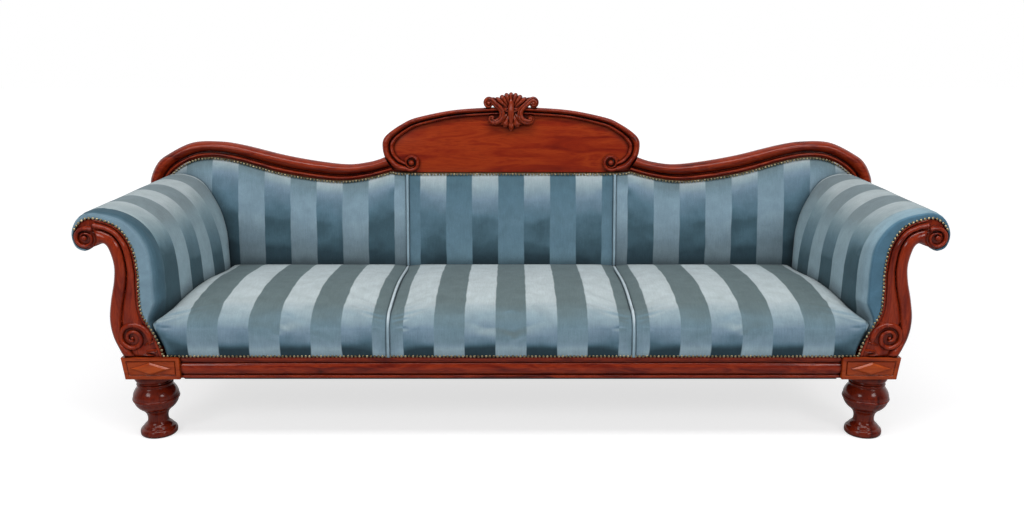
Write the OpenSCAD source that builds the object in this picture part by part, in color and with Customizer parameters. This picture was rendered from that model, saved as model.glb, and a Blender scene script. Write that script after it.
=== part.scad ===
// A three-seat sofa with scrolled arms, a serpentine show-wood top rail and a carved crest.
// Millimetres. X runs along the sofa, Y runs to its back, Z runs up, and the origin is on the
// floor at the middle of the space that the sofa takes.

/* [Overall] */
// Width over the ends of the top rails
overall_w = 2400; // [2200:10:2700]
// Depth from the leg blocks to the toes of the rear legs
overall_d = 700; // [690:5:760]
// Height of the carved crest
overall_h = 950; // [930:5:980]

/* [Seat frame] */
// Height of the underside of the seat rails
rail_underside = 196; // [180:1:215]
// Height of the seat rails
rail_h = 65; // [60:1:70]
// Thickness of the seat rails
rail_t = 44; // [36:1:48]
// How far the leg blocks stand in front of the rail and the scrolls
block_proud = 10; // [4:1:14]
// Diameter of the frame dowels
dowel_d = 10; // [8:0.5:12]
// How deep a dowel goes into each piece
dowel_reach = 30; // [20:1:34]

/* [Front legs] */
// Width of a leg block
block_w = 163; // [158:1:170]
// Depth of a leg block from front to back
block_d = 135; // [128:1:145]
// How far a leg block stands outwards of the foot of its scroll
block_overhang = 8; // [4:1:12]
// How much a leg block narrows towards the floor on its outer side
block_cant = 8; // [4:1:14]
// Largest diameter of the turned foot
foot_d = 132; // [120:1:140]
// How far the foot stands outwards of the middle of its block
foot_offset = 22; // [12:1:24]
// How far the foot's widest part stands behind the front of its block
foot_setback = 14; // [6:1:20]
// Diameter of the tenon that joins the foot to its block
tenon_d = 28; // [20:1:34]
// Length of that tenon
tenon_l = 42; // [30:1:48]

/* [Rear legs and back posts] */
// Width of a back post, seen from behind
post_w = 45; // [36:1:50]
// Thickness of the back posts and of the frame between them
post_t = 30; // [26:1:32]
// Thickness of a rear leg at its toe
toe_t = 32; // [26:1:38]
// Lean of the back from upright, in degrees
back_lean = 8; // [6:0.5:9]

/* [Seat] */
// Height of the line where the seat meets the back
seat_line_h = 387; // [380:1:395]
// Depth of the seat from the front rail to the back
seat_d = 563; // [550:1:575]
// Distance of a seam from the middle of the sofa
seam_x = 345; // [330:1:360]
// How far the crown of the seat rises above the seat line
seat_crown = 19; // [10:1:24]
// How far the seams are drawn down into the seat
seam_dip = 9; // [4:1:14]
// How far the front of the seat swells over the rail
seat_swell = 10; // [4:1:12]
// Height of the springs
spring_h = 101; // [97:1:103]
// Diameter of a spring at its ends
spring_d = 92; // [70:1:110]
// Diameter of the spring wire
wire_d = 4; // [3:0.5:5]
// Rows of springs from front to back
spring_rows = 3; // [2:1:3]
// Turns of wire in a spring
spring_turns = 3; // [3:1:4]

/* [Back] */
// Thickness of the stuffing of the back
back_pad_t = 40; // [34:1:44]
// How far the back swells in the middle of each panel
back_crown = 10; // [4:1:12]
// How far the lowest part of the nail line under the top rails lies below the crest
nail_line_drop = 27; // [20:1:34]
// Rise of the top rails from that line to their highest point
top_rail_rise = 128; // [118:1:134]
// Thickness of the top rails from their back to the crown of the moulding
top_rail_t = 54; // [50:1:58]

/* [Crest] */
// Width of the crest
crest_w = 854; // [820:2:880]
// How far the carved ornament rises above the crest moulding
ornament_rise = 46; // [40:1:50]
// Height of the crest from its lower edge to the top of its moulding
crest_h = 213; // [205:1:220]
// Thickness of the crest panel
crest_panel_t = 22; // [18:1:24]
// Thickness of the crest moulding in front of the panel
crest_moulding_t = 24; // [18:1:26]
// Radius of the volutes that end the crest moulding
crest_volute_r = 30; // [26:1:33]
// Width of the carved ornament
carving_w = 162; // [150:2:180]
// Height of the carved ornament
carving_h = 115; // [108:1:124]
// Relief of the carved ornament in front of the moulding
carving_relief = 14; // [10:1:18]

/* [Arms] */
// Width of a carved scroll from its volute to its foot
scroll_w = 216; // [206:1:226]
// Height of a carved scroll above its leg block
scroll_h = 397; // [385:1:404]
// Thickness of a carved scroll
scroll_t = 22; // [18:1:26]
// How far the scrolls stand inside the ends of the top rails
scroll_inset = 5; // [5:1:12]
// Relief of the ridge that is carved along a scroll
ridge_relief = 8; // [5:1:10]
// Thickness of the arm stuffing at the front
arm_pad_front_t = 48; // [44:1:48]
// Thickness of the arm stuffing at the back
arm_pad_back_t = 95; // [80:1:95]
// Thickness of the boards at the two ends of an arm
arm_board_t = 22; // [18:1:26]

/* [Covers and webbing] */
// Thickness of the outside covers
cover_t = 2.5; // [2:0.1:3]
// Width of a strap of webbing
web_w = 50; // [40:1:60]
// Thickness of a strap of webbing
web_t = 1.5; // [1:0.1:2]

/* [Hidden] */

// Colours
mahogany = "#7d2f1c";
mahogany_light = "#a4512a";
beech = "#c9a878";
velvet = "#5f8296";
hessian = "#a58f68";
black_cloth = "#3a3a3c";
spring_steel = "#8c8f94";

// Clearance between pieces that rest on each other
seat_gap = 0.3;
// Clearance round dowels and tenons
fit_gap = 0.2;
// Overrun of every cut
cut = 5;
// Segments of a round hole or pin
round_fn = 32;
// Segments of the spheres that blocks of carving are blended from
carve_fn = 8;

// Places worked out from the sizes
half_w = overall_w / 2;
front_y = -overall_d / 2;
face_y = front_y + block_proud;
back_y = face_y + seat_d;
rail_top = rail_underside + rail_h;
rail_back_y = face_y + rail_t;
crest_foot_h = overall_h - ornament_rise - crest_h;
nail_line_low = crest_foot_h - nail_line_drop;
scroll_outer_x = -half_w + scroll_inset;
scroll_foot_x = scroll_outer_x + scroll_w;
scroll_heel_share = 0.491;
block_outer_x = scroll_outer_x + scroll_w * scroll_heel_share - block_overhang;
block_inner_x = block_outer_x + block_w;
block_back_y = front_y + block_d;
foot_x = (block_outer_x + block_inner_x) / 2 - foot_offset;
foot_y = front_y + foot_setback + foot_d / 2;
side_rail_share = 0.08;
side_rail_outer_x = block_outer_x + block_w * side_rail_share;
post_outer_x = side_rail_outer_x;
post_n = back_pad_t;
post_back_n = post_n + post_t;
web_n = post_n - 2 * web_t;
upright_w = 34;

// Height above the floor to height along the leaning back
function up_back(h) = (h - seat_line_h) / cos(back_lean);
// The leaning plane at a height above the floor, n behind the face of the back
function lean_y(h, n) = back_y + (h - seat_line_h) * tan(back_lean) + n / cos(back_lean);

// Distance along the leaning back of what lies n behind its face at a height
function up_at(h, n) = up_back(h) + n * tan(back_lean);

// Smooth curve through points, n steps between two of them
function bend(a, b, c, d, t) = b
    + (c - a) * t / 2
    + (2 * a - 5 * b + 4 * c - d) * t * t / 2
    + (3 * b - a - 3 * c + d) * t * t * t / 2;
function smooth(p, n) = [
    for (i = [0:len(p) - 2]) for (k = [0:n - 1])
        bend(p[max(i - 1, 0)], p[i], p[i + 1], p[min(i + 2, len(p) - 1)], k / n),
    p[len(p) - 1]
];
// Points given as shares of a width and a height
function placed(shares, x, z, w, h) = [for (s = shares) [x + s[0] * w, z + s[1] * h]];
function unit(v) = v / norm(v);
// Direction to the left of a path at one of its points
function aside(p, i) = let (d = unit(p[min(i + 1, len(p) - 1)] - p[max(i - 1, 0)])) [-d[1], d[0]];
// A path moved to its left
function shifted(p, d) = [for (i = [0:len(p) - 1]) p[i] + aside(p, i) * d];
function reversed(p) = [for (i = [len(p) - 1:-1:0]) p[i]];
function mirrored(p) = [for (q = p) [-q[0], q[1]]];
function spiral(centre, r0, r1, a0, a1, n) = [
    for (k = [0:n])
        let (r = r0 + (r1 - r0) * k / n, a = a0 + (a1 - a0) * k / n) centre + r * [cos(a), sin(a)]
];
function total(v) = v * [for (x = v) 1];

// Closed solid through rings of points. A ring has an even count, and each of its ends is closed
// by a strip of triangles between the first half of the ring and the second.
function side_faces(n, m) = [
    for (i = [0:n - 2]) for (j = [0:m - 1])
        let (a = i * m + j, b = i * m + (j + 1) % m) each [[a, b, b + m], [a, b + m, a + m]]
];
function end_faces(first, m) = [
    for (i = [0:m / 2 - 2])
        let (a = first + i, d = first + m - 1 - i) each [[a, d - 1, a + 1], [a, d, d - 1]]
];
function turned(faces) = [for (f = faces) [f[2], f[1], f[0]]];
module loft(rings) {
    n = len(rings);
    m = len(rings[0]);
    points = [for (r = rings) each r];
    faces = concat(side_faces(n, m), end_faces(0, m), turned(end_faces((n - 1) * m, m)));
    volume = total([for (f = faces) points[f[0]] * cross(points[f[1]], points[f[2]])]);
    polyhedron(points, volume > 0 ? turned(faces) : faces, convexity = 10);
}

// Ridge of carving along a path in the XZ plane, standing out to the front
ridge_section_shares = [[-1, 0], [-0.55, 0.8], [0.55, 0.8], [1, 0], [0.6, -0.5], [-0.6, -0.5]];
function ridge_rings(path, widths, relief, y) = [
    for (i = [0:len(path) - 1])
        let (s = aside(path, i), w = widths[i])
            [for (q = ridge_section_shares)
                [path[i][0] + s[0] * w * q[0], y - relief * q[1], path[i][1] + s[1] * w * q[0]]]
];

// Flat outline in X and Z, given thickness from y to y + t
module board(y, t) {
    translate([0, y + t, 0]) rotate([90, 0, 0]) linear_extrude(t) children();
}
// What is drawn upright, with Z from the seat line, leans with the back
module leaned() {
    translate([0, back_y, seat_line_h]) rotate([-back_lean, 0, 0]) children();
}
// Everything in front of a plane that leans with the back
module in_front_of(n) {
    intersection() {
        children();
        leaned() translate([-overall_w, n - 2 * overall_d, -overall_h])
            cube([2 * overall_w, 2 * overall_d, 2 * overall_h]);
    }
}
// A bar that leans with the back, cut level at two heights
module leaning_bar(x, w, low, high) {
    translate([x, 0, 0]) rotate([90, 0, 90]) linear_extrude(w) polygon([
        [lean_y(low, post_n), low], [lean_y(low, post_back_n), low],
        [lean_y(high, post_back_n), high], [lean_y(high, post_n), high]
    ]);
}
module pin(from, along, d, l) {
    translate(from) rotate(along) cylinder(d = d, h = l, $fn = round_fn);
}
along_x = [0, 90, 0];
along_y = [-90, 0, 0];

// Outlines that several pieces follow

// The scroll: its nailed edge up from the leg block and round the volute, then its outer edge
// back down to the block, as shares of its width and height
scroll_shares = [
    [1, 0], [0.972, 0.071], [0.912, 0.156], [0.824, 0.247], [0.759, 0.343], [0.755, 0.491],
    [0.764, 0.625], [0.722, 0.798], [0.565, 0.94], [0.282, 1], [0.111, 0.977], [0, 0.887],
    [0.037, 0.811], [0.144, 0.786], [0.259, 0.804], [0.38, 0.824], [0.435, 0.783], [0.477, 0.675],
    [0.458, 0.562], [0.394, 0.418], [0.356, 0.28], [0.384, 0.146], [0.449, 0.063], [scroll_heel_share, 0]
];
scroll_points = placed(scroll_shares, scroll_outer_x, rail_top, scroll_w, scroll_h);
// The stuffing beyond the scroll's nailed edge, as shares of its thickness at the front and at
// the back, for the scroll's points from the second one up
front_stuffing_shares = [
    [0.17, 0], [0.44, 0], [0.81, 0.04], [1.06, 0.04], [1.06, 0], [1.02, 0.04], [1, 0.19],
    [0.60, 0.35], [0.08, 0.375], [-0.15, 0.31], [-0.09, 0.15], [-0.1, -0.1], [0, -0.16]
];
back_stuffing_shares = [
    [0.52, 0], [0.65, 0], [0.85, 0.02], [1, 0.02], [0.98, 0], [0.89, 0.02], [0.73, 0.09],
    [0.54, 0.32], [0.48, 0.33], [0.22, 0.28], [-0.03, 0.20], [-0.05, -0.05], [0, -0.07]
];
scroll_steps = 3;
nailed_last = 13;
scroll_edge = smooth(scroll_points, scroll_steps);
front_stuffing = smooth(front_stuffing_shares, scroll_steps);
back_stuffing = smooth(back_stuffing_shares, scroll_steps);
pad_edge = [for (i = [scroll_steps:nailed_last * scroll_steps]) scroll_edge[i]];
// The seat covers the foot of the arm's front, where the stuffing thins out: points of the edge
// between which it does, how deep this goes, and what is left of the stuffing
tuck_full_i = 6;
tuck_none_i = 10;
tuck_depth_share = 0.13;
tuck_left_share = 0.06;
function tuck_low(i) = max(0, min(1, (tuck_none_i - i) / (tuck_none_i - tuck_full_i)));
function tuck_near(t) = max(0, 1 - max(t, 0) / tuck_depth_share);
// Full stuffing at a point of that edge, from the front at 0 to the back at 1, and its face there
function arm_fill(i, t) = front_stuffing[i] * arm_pad_front_t * (1 - t) + back_stuffing[i] * arm_pad_back_t * t;
function arm_face(i, t) =
    pad_edge[i] + arm_fill(i, t) * (1 - (1 - tuck_left_share) * tuck_low(i) * tuck_near(t));

// The outer and the nailed edge of a top rail, in pairs: shares of its run from the end of the
// sofa to the crest, and of its rise from the lowest nail line
rail_outer_shares = [
    [0, -0.19], [0.0013, 0.06], [0.0285, 0.414], [0.0725, 0.648], [0.181, 0.961], [0.295, 1],
    [0.401, 0.906], [0.577, 0.648], [0.732, 0.484], [0.854, 0.414], [0.95, 0.484], [1.0085, 0.594]
];
rail_nailed_shares = [
    [0.070, -0.125], [0.0763, 0.0625], [0.105, 0.25], [0.149, 0.4375], [0.207, 0.57], [0.2846, 0.60],
    [0.388, 0.49], [0.556, 0.21], [0.718, 0.047], [0.828, 0], [0.931, 0.07], [1.045, 0.24]
];
rail_proud = top_rail_t - back_pad_t;
// Depth of an arm's stuffing at a height, from the front at 0 to the back at 1
function arm_y(t, h) = face_y + t * (lean_y(h, -rail_proud - seat_gap) - face_y);
function rail_edge(shares) = placed(
    shares, -half_w, up_back(nail_line_low), half_w - crest_w / 2, top_rail_rise / cos(back_lean));
rail_steps = 3;
nail_flat_share = 0.41;
nail_band = 2;
// The line of nails along the leaning back, from an end of the sofa to the middle
nail_path = concat(
    smooth(rail_edge(rail_nailed_shares), rail_steps),
    [for (x = [-crest_w * nail_flat_share, 0]) [x, up_back(crest_foot_h) - nail_band]]);
function nail_s(x) = lookup(-abs(x), nail_path);

// Seat frame

// Depth and height shares of the moulded front: fillet, groove, torus, groove and fillet
rail_front_shares = [
    [0.10, 1], [0.02, 0.98], [0.02, 0.82], [0.12, 0.80], [0.12, 0.73],
    [0.05, 0.70], [0, 0.62], [0, 0.42], [0.05, 0.32], [0.12, 0.28],
    [0.12, 0.16], [0.04, 0.14], [0.04, 0.02], [0.10, 0]
];
module rail_section() {
    polygon(concat(
        [for (s = rail_front_shares) [s[0] * rail_t, s[1] * rail_h]],
        [[rail_t, 0], [rail_t, rail_h]]));
}
dowel_heights_share = [0.3, 0.7];
module front_rail_dowels(d, l) {
    for (side = [0, 1]) mirror([side, 0, 0]) for (h = dowel_heights_share)
        pin([block_inner_x - l / 2, face_y + rail_t / 2, rail_underside + h * rail_h], along_x, d, l);
}
module side_rail_dowels(d, l) {
    for (side = [0, 1]) mirror([side, 0, 0]) for (h = dowel_heights_share)
        pin([side_rail_outer_x + rail_t / 2, block_back_y - l / 2, rail_underside + h * rail_h],
            along_y, d, l);
}
module front_seat_rail() color(mahogany) difference() {
    translate([block_inner_x, face_y, rail_underside]) rotate([90, 0, 90])
        linear_extrude(-2 * block_inner_x) rail_section();
    front_rail_dowels(dowel_d + fit_gap, 2 * dowel_reach + fit_gap);
}
module rear_seat_rail() color(beech)
    leaning_bar(post_outer_x + post_w, -2 * (post_outer_x + post_w), rail_underside, rail_top);
module side_rail() difference() {
    in_front_of(post_n)
        translate([side_rail_outer_x, block_back_y, rail_underside])
            cube([rail_t, lean_y(rail_top, post_n) - block_back_y + cut, rail_h]);
    side_rail_dowels(dowel_d + fit_gap, 2 * dowel_reach + fit_gap);
}
module left_side_rail() color(beech) side_rail();
module right_side_rail() color(beech) mirror([1, 0, 0]) side_rail();
cross_rail_t = 30;
module seat_cross_rails() color(beech) in_front_of(post_n)
    for (x = [-seam_x, seam_x])
        translate([x - cross_rail_t / 2, rail_back_y, rail_underside])
            cube([cross_rail_t, lean_y(rail_top, post_n) - rail_back_y + cut, rail_h]);
glue_block = 60;
glue_block_h = 50;
module corner_blocks() color(beech) for (side = [0, 1]) mirror([side, 0, 0]) {
    translate([block_inner_x, rail_back_y, rail_top - glue_block_h - seat_gap])
        linear_extrude(glue_block_h) polygon([[0, 0], [glue_block, 0], [0, glue_block]]);
    in_front_of(post_n - seat_gap)
        translate([side_rail_outer_x + rail_t, lean_y(rail_underside, post_n), rail_underside + seat_gap])
            linear_extrude(glue_block_h)
                polygon([[0, glue_block], [0, -glue_block], [2 * glue_block, glue_block]]);
}
module frame_dowels() color(beech) {
    front_rail_dowels(dowel_d, 2 * dowel_reach);
    side_rail_dowels(dowel_d, 2 * dowel_reach);
}

// Front legs

panel_margin = 11;
panel_depth = 2;
lozenge_shares = [[0.06, 0.5], [0.5, 0.06], [0.94, 0.5], [0.5, 0.94]];
module block_outline(margin) {
    polygon([
        [block_outer_x + margin, rail_top - margin], [block_inner_x - margin, rail_top - margin],
        [block_inner_x - margin, rail_underside + margin],
        [block_outer_x + block_cant + margin, rail_underside + margin]
    ]);
}
module leg_block() {
    difference() {
        board(front_y, block_d) block_outline(0);
        board(front_y - panel_depth, 2 * panel_depth) block_outline(panel_margin);
        front_rail_dowels(dowel_d + fit_gap, 2 * dowel_reach + fit_gap);
        side_rail_dowels(dowel_d + fit_gap, 2 * dowel_reach + fit_gap);
        pin([foot_x, foot_y, rail_underside - cut], [0, 0, 0],
            tenon_d + 2 * fit_gap, tenon_l + cut + fit_gap);
    }
    board(front_y, panel_depth) polygon(placed(
        lozenge_shares, block_outer_x + block_cant + panel_margin, rail_underside + panel_margin,
        block_w - block_cant - 2 * panel_margin, rail_h - 2 * panel_margin));
}
module left_leg_block() color(mahogany_light) leg_block();
module right_leg_block() color(mahogany_light) mirror([1, 0, 0]) leg_block();

// Radius shares of the foot's greatest radius, and height shares, from the floor up
foot_shares = [
    [0.652, 0], [0.773, 0.031], [0.788, 0.066], [0.765, 0.107], [0.689, 0.133],
    [0.621, 0.151], [0.523, 0.176], [0.462, 0.209], [0.439, 0.25], [0.444, 0.296],
    [0.492, 0.347], [0.568, 0.385], [0.644, 0.411], [0.742, 0.457], [0.848, 0.503],
    [0.932, 0.541], [0.988, 0.564], [1, 0.582], [0.967, 0.61], [0.909, 0.668],
    [0.826, 0.724], [0.752, 0.77], [0.742, 0.791], [0.78, 0.806], [0.742, 0.829],
    [0.767, 0.857], [0.826, 0.885], [0.845, 0.923], [0.818, 0.964], [0.758, 1]
];
module front_foot() translate([foot_x, foot_y, 0]) {
    rotate_extrude($fn = 4 * round_fn)
        polygon(concat(
            [[0, 0]], placed(foot_shares, 0, 0, foot_d / 2, rail_underside), [[0, rail_underside]]));
    translate([0, 0, rail_underside]) cylinder(d = tenon_d, h = tenon_l, $fn = round_fn);
}
module left_front_foot() color(mahogany) front_foot();
module right_front_foot() color(mahogany) mirror([1, 0, 0]) front_foot();

// Rear legs, each in one piece with its back post

toe_back_shares = [[1, 0], [0.74, 0.2], [0.42, 0.45], [0.15, 0.72], [0, 1]];
module rear_leg() {
    toe_y = overall_d / 2;
    knee_front = lean_y(rail_underside, post_n);
    knee_back = lean_y(rail_underside, post_back_n);
    top_h = seat_line_h + (nail_s(post_outer_x + post_w / 2) + frame_lap) * cos(back_lean);
    rear_edge = [for (s = toe_back_shares) [knee_back + s[0] * (toe_y - knee_back), s[1] * rail_underside]];
    front_edge = [for (s = toe_back_shares)
        [knee_front + s[0] * (toe_y - toe_t - knee_front), s[1] * rail_underside]];
    translate([post_outer_x, 0, 0]) rotate([90, 0, 90]) linear_extrude(post_w) polygon(concat(
        smooth(rear_edge, 3), [[lean_y(top_h, post_back_n), top_h], [lean_y(top_h, post_n), top_h]],
        reversed(smooth(front_edge, 3))));
}
module left_rear_leg() color(mahogany) rear_leg();
module right_rear_leg() color(mahogany) mirror([1, 0, 0]) rear_leg();

// Seat upholstery

web_rows = 3;
web_columns = 12;
web_bottom = rail_underside - 2 * web_t;
spring_columns_share = [0.19, 0.55, 0.90];
web_margin = 8;
module seat_webbing() color(hessian) {
    inner_back = lean_y(rail_underside, post_back_n) - web_margin;
    length_x = -2 * (side_rail_outer_x + web_margin);
    pitch = (length_x - 2 * (block_w + web_margin)) / web_columns;
    for (i = [0:web_columns - 1])
        translate([(i - (web_columns - 1) / 2) * pitch - web_w / 2, face_y + web_margin, web_bottom + web_t])
            cube([web_w, inner_back - face_y - web_margin, web_t]);
    for (k = [0:web_rows - 1])
        translate([-length_x / 2, spring_y(k, web_rows) - web_w / 2, web_bottom])
            cube([length_x, web_w, web_t]);
}
spring_edge = 120;
function spring_y(k, rows) =
    let (run = lean_y(rail_top, post_n) - rail_back_y - 2 * spring_edge)
        rail_back_y + spring_edge + k * run / max(rows - 1, 1);
spring_waist_share = 0.72;
spring_step = 8;
spring_sides = 4;
module spring() {
    n = spring_turns * spring_step;
    run = spring_h - wire_d - 2 * seat_gap;
    loft([for (k = [0:n])
        let (
            t = k / n, a = t * 360 * spring_turns,
            r = (spring_d - wire_d) / 2 * (spring_waist_share + (1 - spring_waist_share) * pow(2 * t - 1, 2)),
            middle = [r * cos(a), r * sin(a), wire_d / 2 + seat_gap + t * run])
            [for (q = [0:spring_sides - 1])
                let (b = q * 360 / spring_sides)
                    middle + wire_d / 2 * [cos(b) * cos(a), cos(b) * sin(a), sin(b)]]]);
}
module seat_springs() color(spring_steel)
    for (side = [-1, 1]) for (x = spring_columns_share) for (k = [0:spring_rows - 1])
        translate([side * x * (-block_inner_x), spring_y(k, spring_rows), rail_underside]) spring();
canvas_h = rail_underside + spring_h;
module spring_canvas() color(hessian) in_front_of(-web_t)
    translate([block_inner_x + web_w, rail_back_y + web_t, canvas_h])
        cube([-2 * (block_inner_x + web_w), seat_d, web_t]);

// Face of the seat from the front rail over the crown to the back: shares of the seat's depth
// and of its height above the rail
seat_face_shares = [
    [-0.007, 0], [-0.021, 0.18], [-0.025, 0.42], [-0.018, 0.66], [0.004, 0.84], [0.045, 0.96],
    [0.115, 1.02], [0.23, 1.06], [0.38, 1.09], [0.55, 1.09], [0.71, 1.06], [0.85, 1.03], [1, 1]
];
seat_swell_share = 0.025;
seat_crown_share = 0.09;
seat_under_shares = [
    [0.076, 0], [0.076, 0.14], [0.078, 1], [0.085, 1], [0.11, 1], [0.15, 1],
    [0.21, 1], [0.30, 1], [0.42, 1], [0.57, 1], [0.72, 1], [0.86, 1], [1, 1]
];
// Stations across the seat and the back, from the middle to one end
half_station_shares = [
    0, 0.14, 0.26, 0.30, 0.335, 0.353, 0.371, 0.41, 0.47, 0.53, 0.59, 0.65, 0.71, 0.77, 0.83, 0.89,
    0.95, 0.985, 1
];
station_shares = concat(
    [for (i = [len(half_station_shares) - 1:-1:1]) -half_station_shares[i]], half_station_shares);
seam_spread = 26;
end_drop_share = 0.72;
front_edge_share = 0.05;
function seam_pull(x) = exp(-pow((abs(x) - seam_x) / seam_spread, 2));
end_pull_power = 24;
function end_pull(u) = pow(abs(u), end_pull_power);
arm_gap = 4;
nail_gap = 16;
seat_meets_i = 15;
seat_tuck_power = 3.2;
// Half the width that the arms leave for the seat at a depth and a height
function seat_half(y, h) =
    let (
        t = max(0, min(1, (y - face_y) / (arm_y(1, h) - face_y))),
        open = -max([for (i = [0:len(pad_edge) - 1]) pad_edge[i][0] + arm_fill(i, t)[0]]) - arm_gap,
        edge = concat([[rail_top, scroll_foot_x]], [for (i = [0:seat_meets_i]) [pad_edge[i][1], pad_edge[i][0]]]),
        low = lookup(h, [for (i = [0:seat_meets_i]) [pad_edge[i][1], tuck_low(i)]]))
        open + pow(tuck_near(t), seat_tuck_power) * low * max(0, -lookup(h, edge) - nail_gap - open);
module seat_pad() color(velvet) {
    bottom = rail_top + seat_gap;
    face_h = seat_line_h - bottom;
    under_h = canvas_h + web_t + seat_gap - bottom;
    loft([for (u = station_shares)
        [for (i = [0:len(seat_face_shares) - 1])
            let (
                s = seat_face_shares[i],
                rise = s[1] <= 1 ? s[1] * face_h : face_h + (s[1] - 1) / seat_crown_share * seat_crown,
                reach = s[0] < 0 ? s[0] / seat_swell_share * seat_swell : s[0] * seat_d,
                across = u * seat_half(face_y + s[0] * seat_d, bottom + rise),
                pull = seam_dip * (seam_pull(across) + end_drop_share * end_pull(u)) * min(1, s[1]),
                z = bottom + rise - pull * (i == len(seat_face_shares) - 1 ? 0 : 1),
                y = i == len(seat_face_shares) - 1 ? lean_y(z, -seat_gap)
                    : face_y + reach + (s[0] < front_edge_share ? pull * (1 - max(s[0], 0)) / 2 : 0))
                [u * seat_half(y, z), min(y, lean_y(z, -seat_gap)), z],
         for (i = [len(seat_under_shares) - 1:-1:0])
            let (
                s = seat_under_shares[i],
                z = bottom + s[1] * under_h,
                y = min(face_y + s[0] * seat_d, lean_y(z, -seat_gap)))
                [u * seat_half(y, z), y, z]]]);
}
cloth_gap = 0.5;
module bottom_cloth() color(black_cloth) {
    rear = lean_y(rail_underside, post_n) - web_margin;
    inner = block_inner_x + web_margin;
    outer = post_outer_x + post_w + web_margin;
    front = face_y + web_margin;
    shoulder = block_back_y + web_margin;
    translate([0, 0, web_bottom - cloth_gap - web_t]) linear_extrude(web_t) polygon([
        [inner, front], [-inner, front], [-inner, shoulder], [-outer, shoulder],
        [-outer, rear], [outer, rear], [outer, shoulder], [inner, shoulder]
    ]);
}

// Top rails

// Section of the moulding: shares across it from the nails outwards, and of its thickness
moulding_shares = [
    [0, 0.70], [0.05, 0.78], [0.13, 0.84], [0.21, 0.78], [0.26, 0.66], [0.33, 0.82],
    [0.47, 0.96], [0.64, 1], [0.80, 0.94], [0.93, 0.76], [1, 0.48]
];
module top_rail() {
    outer = smooth(rail_edge(rail_outer_shares), rail_steps);
    nailed = smooth(rail_edge(rail_nailed_shares), rail_steps);
    leaned() loft([for (i = [0:len(outer) - 1])
        let (across = outer[i] - nailed[i])
            [for (s = moulding_shares)
                let (p = nailed[i] + across * s[0]) [p[0], post_n - top_rail_t * s[1], p[1]],
             for (k = [len(moulding_shares) - 1:-1:0])
                let (p = nailed[i] + across * moulding_shares[k][0]) [p[0], post_n, p[1]]]]);
}
module left_top_rail() color(mahogany) top_rail();
module right_top_rail() color(mahogany) mirror([1, 0, 0]) top_rail();

// Crest

crest_outer_shares = [
    [-0.82, 0.01], [-0.89, 0.042], [-0.944, 0.127], [-0.984, 0.235], [-1, 0.385], [-0.991, 0.507],
    [-0.941, 0.615], [-0.843, 0.742], [-0.733, 0.836], [-0.468, 0.944], [-0.211, 0.986], [-0.08, 1]
];
crest_inner_shares = [
    [-0.824, 0.155], [-0.867, 0.197], [-0.895, 0.254], [-0.913, 0.315], [-0.918, 0.40], [-0.902, 0.465],
    [-0.862, 0.55], [-0.785, 0.653], [-0.703, 0.718], [-0.461, 0.826], [-0.211, 0.869], [-0.08, 0.881]
];
crest_section_shares = [[0, 0.35], [0.12, 0.85], [0.34, 1], [0.52, 0.62], [0.70, 0.9], [0.88, 0.8], [1, 0.4]];
crest_volute_share = [-0.777, 0.141];
crest_s = up_back(crest_foot_h);
crest_panel_n = post_n - crest_panel_t;
// Half an edge of the crest, from its foot to the carved ornament
function crest_edge(shares) =
    smooth(placed(shares, 0, crest_s, crest_w / 2, crest_h / cos(back_lean)), crest_steps);
crest_steps = 3;
crest_inset = 5;
// The ground that the ornament is carved from, as shares of its width and height
ground_shares = [[0, 0.20], [-0.12, 0.36], [0.12, 0.36], [-0.12, 0.72], [0.12, 0.72], [0, 0.86]];
module crest_panel() color(mahogany) leaned() board(crest_panel_n, crest_panel_t) {
    edge = shifted(crest_edge(crest_outer_shares), -crest_inset);
    polygon(concat(edge, reversed(mirrored(edge))));
}
volute_section_shares = [
    [0, 1.15], [0.2, 1.08], [0.32, 0.8], [0.36, 0.55], [0.5, 0.55], [0.58, 0.8], [0.78, 0.95],
    [0.94, 0.75], [1, 0.4], [1, 0]
];
module volute(centre, y, r, relief) {
    translate([centre[0], y, centre[1]]) rotate([90, 0, 0]) rotate_extrude($fn = round_fn)
        polygon(concat([[0, 0]], placed(volute_section_shares, 0, 0, r, relief)));
}
module crest_moulding() color(mahogany) leaned() {
    outer = crest_edge(crest_outer_shares);
    inner = crest_edge(crest_inner_shares);
    face_n = crest_panel_n;
    centre = placed([crest_volute_share], 0, crest_s, crest_w / 2, crest_h / cos(back_lean))[0];
    for (side = [0, 1]) mirror([side, 0, 0]) {
        loft([for (i = [0:len(outer) - 1])
            let (across = inner[i] - outer[i])
                [for (s = crest_section_shares)
                    let (p = outer[i] + across * s[0]) [p[0], face_n - crest_moulding_t * s[1], p[1]],
                 for (k = [len(crest_section_shares) - 1:-1:0])
                    let (p = outer[i] + across * crest_section_shares[k][0]) [p[0], face_n, p[1]]]]);
        volute(centre, face_n, crest_volute_r, crest_moulding_t);
    }
}

// One lobe of carving from a root to a tip
lobe_flat_share = 0.7;
module lobe(root, tip, root_r, tip_r, y) {
    hull() {
        translate([root[0], y, root[1]]) scale([1, lobe_flat_share, 1]) sphere(root_r, $fn = carve_fn);
        translate([tip[0], y, tip[1]]) scale([1, lobe_flat_share, 1]) sphere(tip_r, $fn = carve_fn);
    }
}
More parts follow.
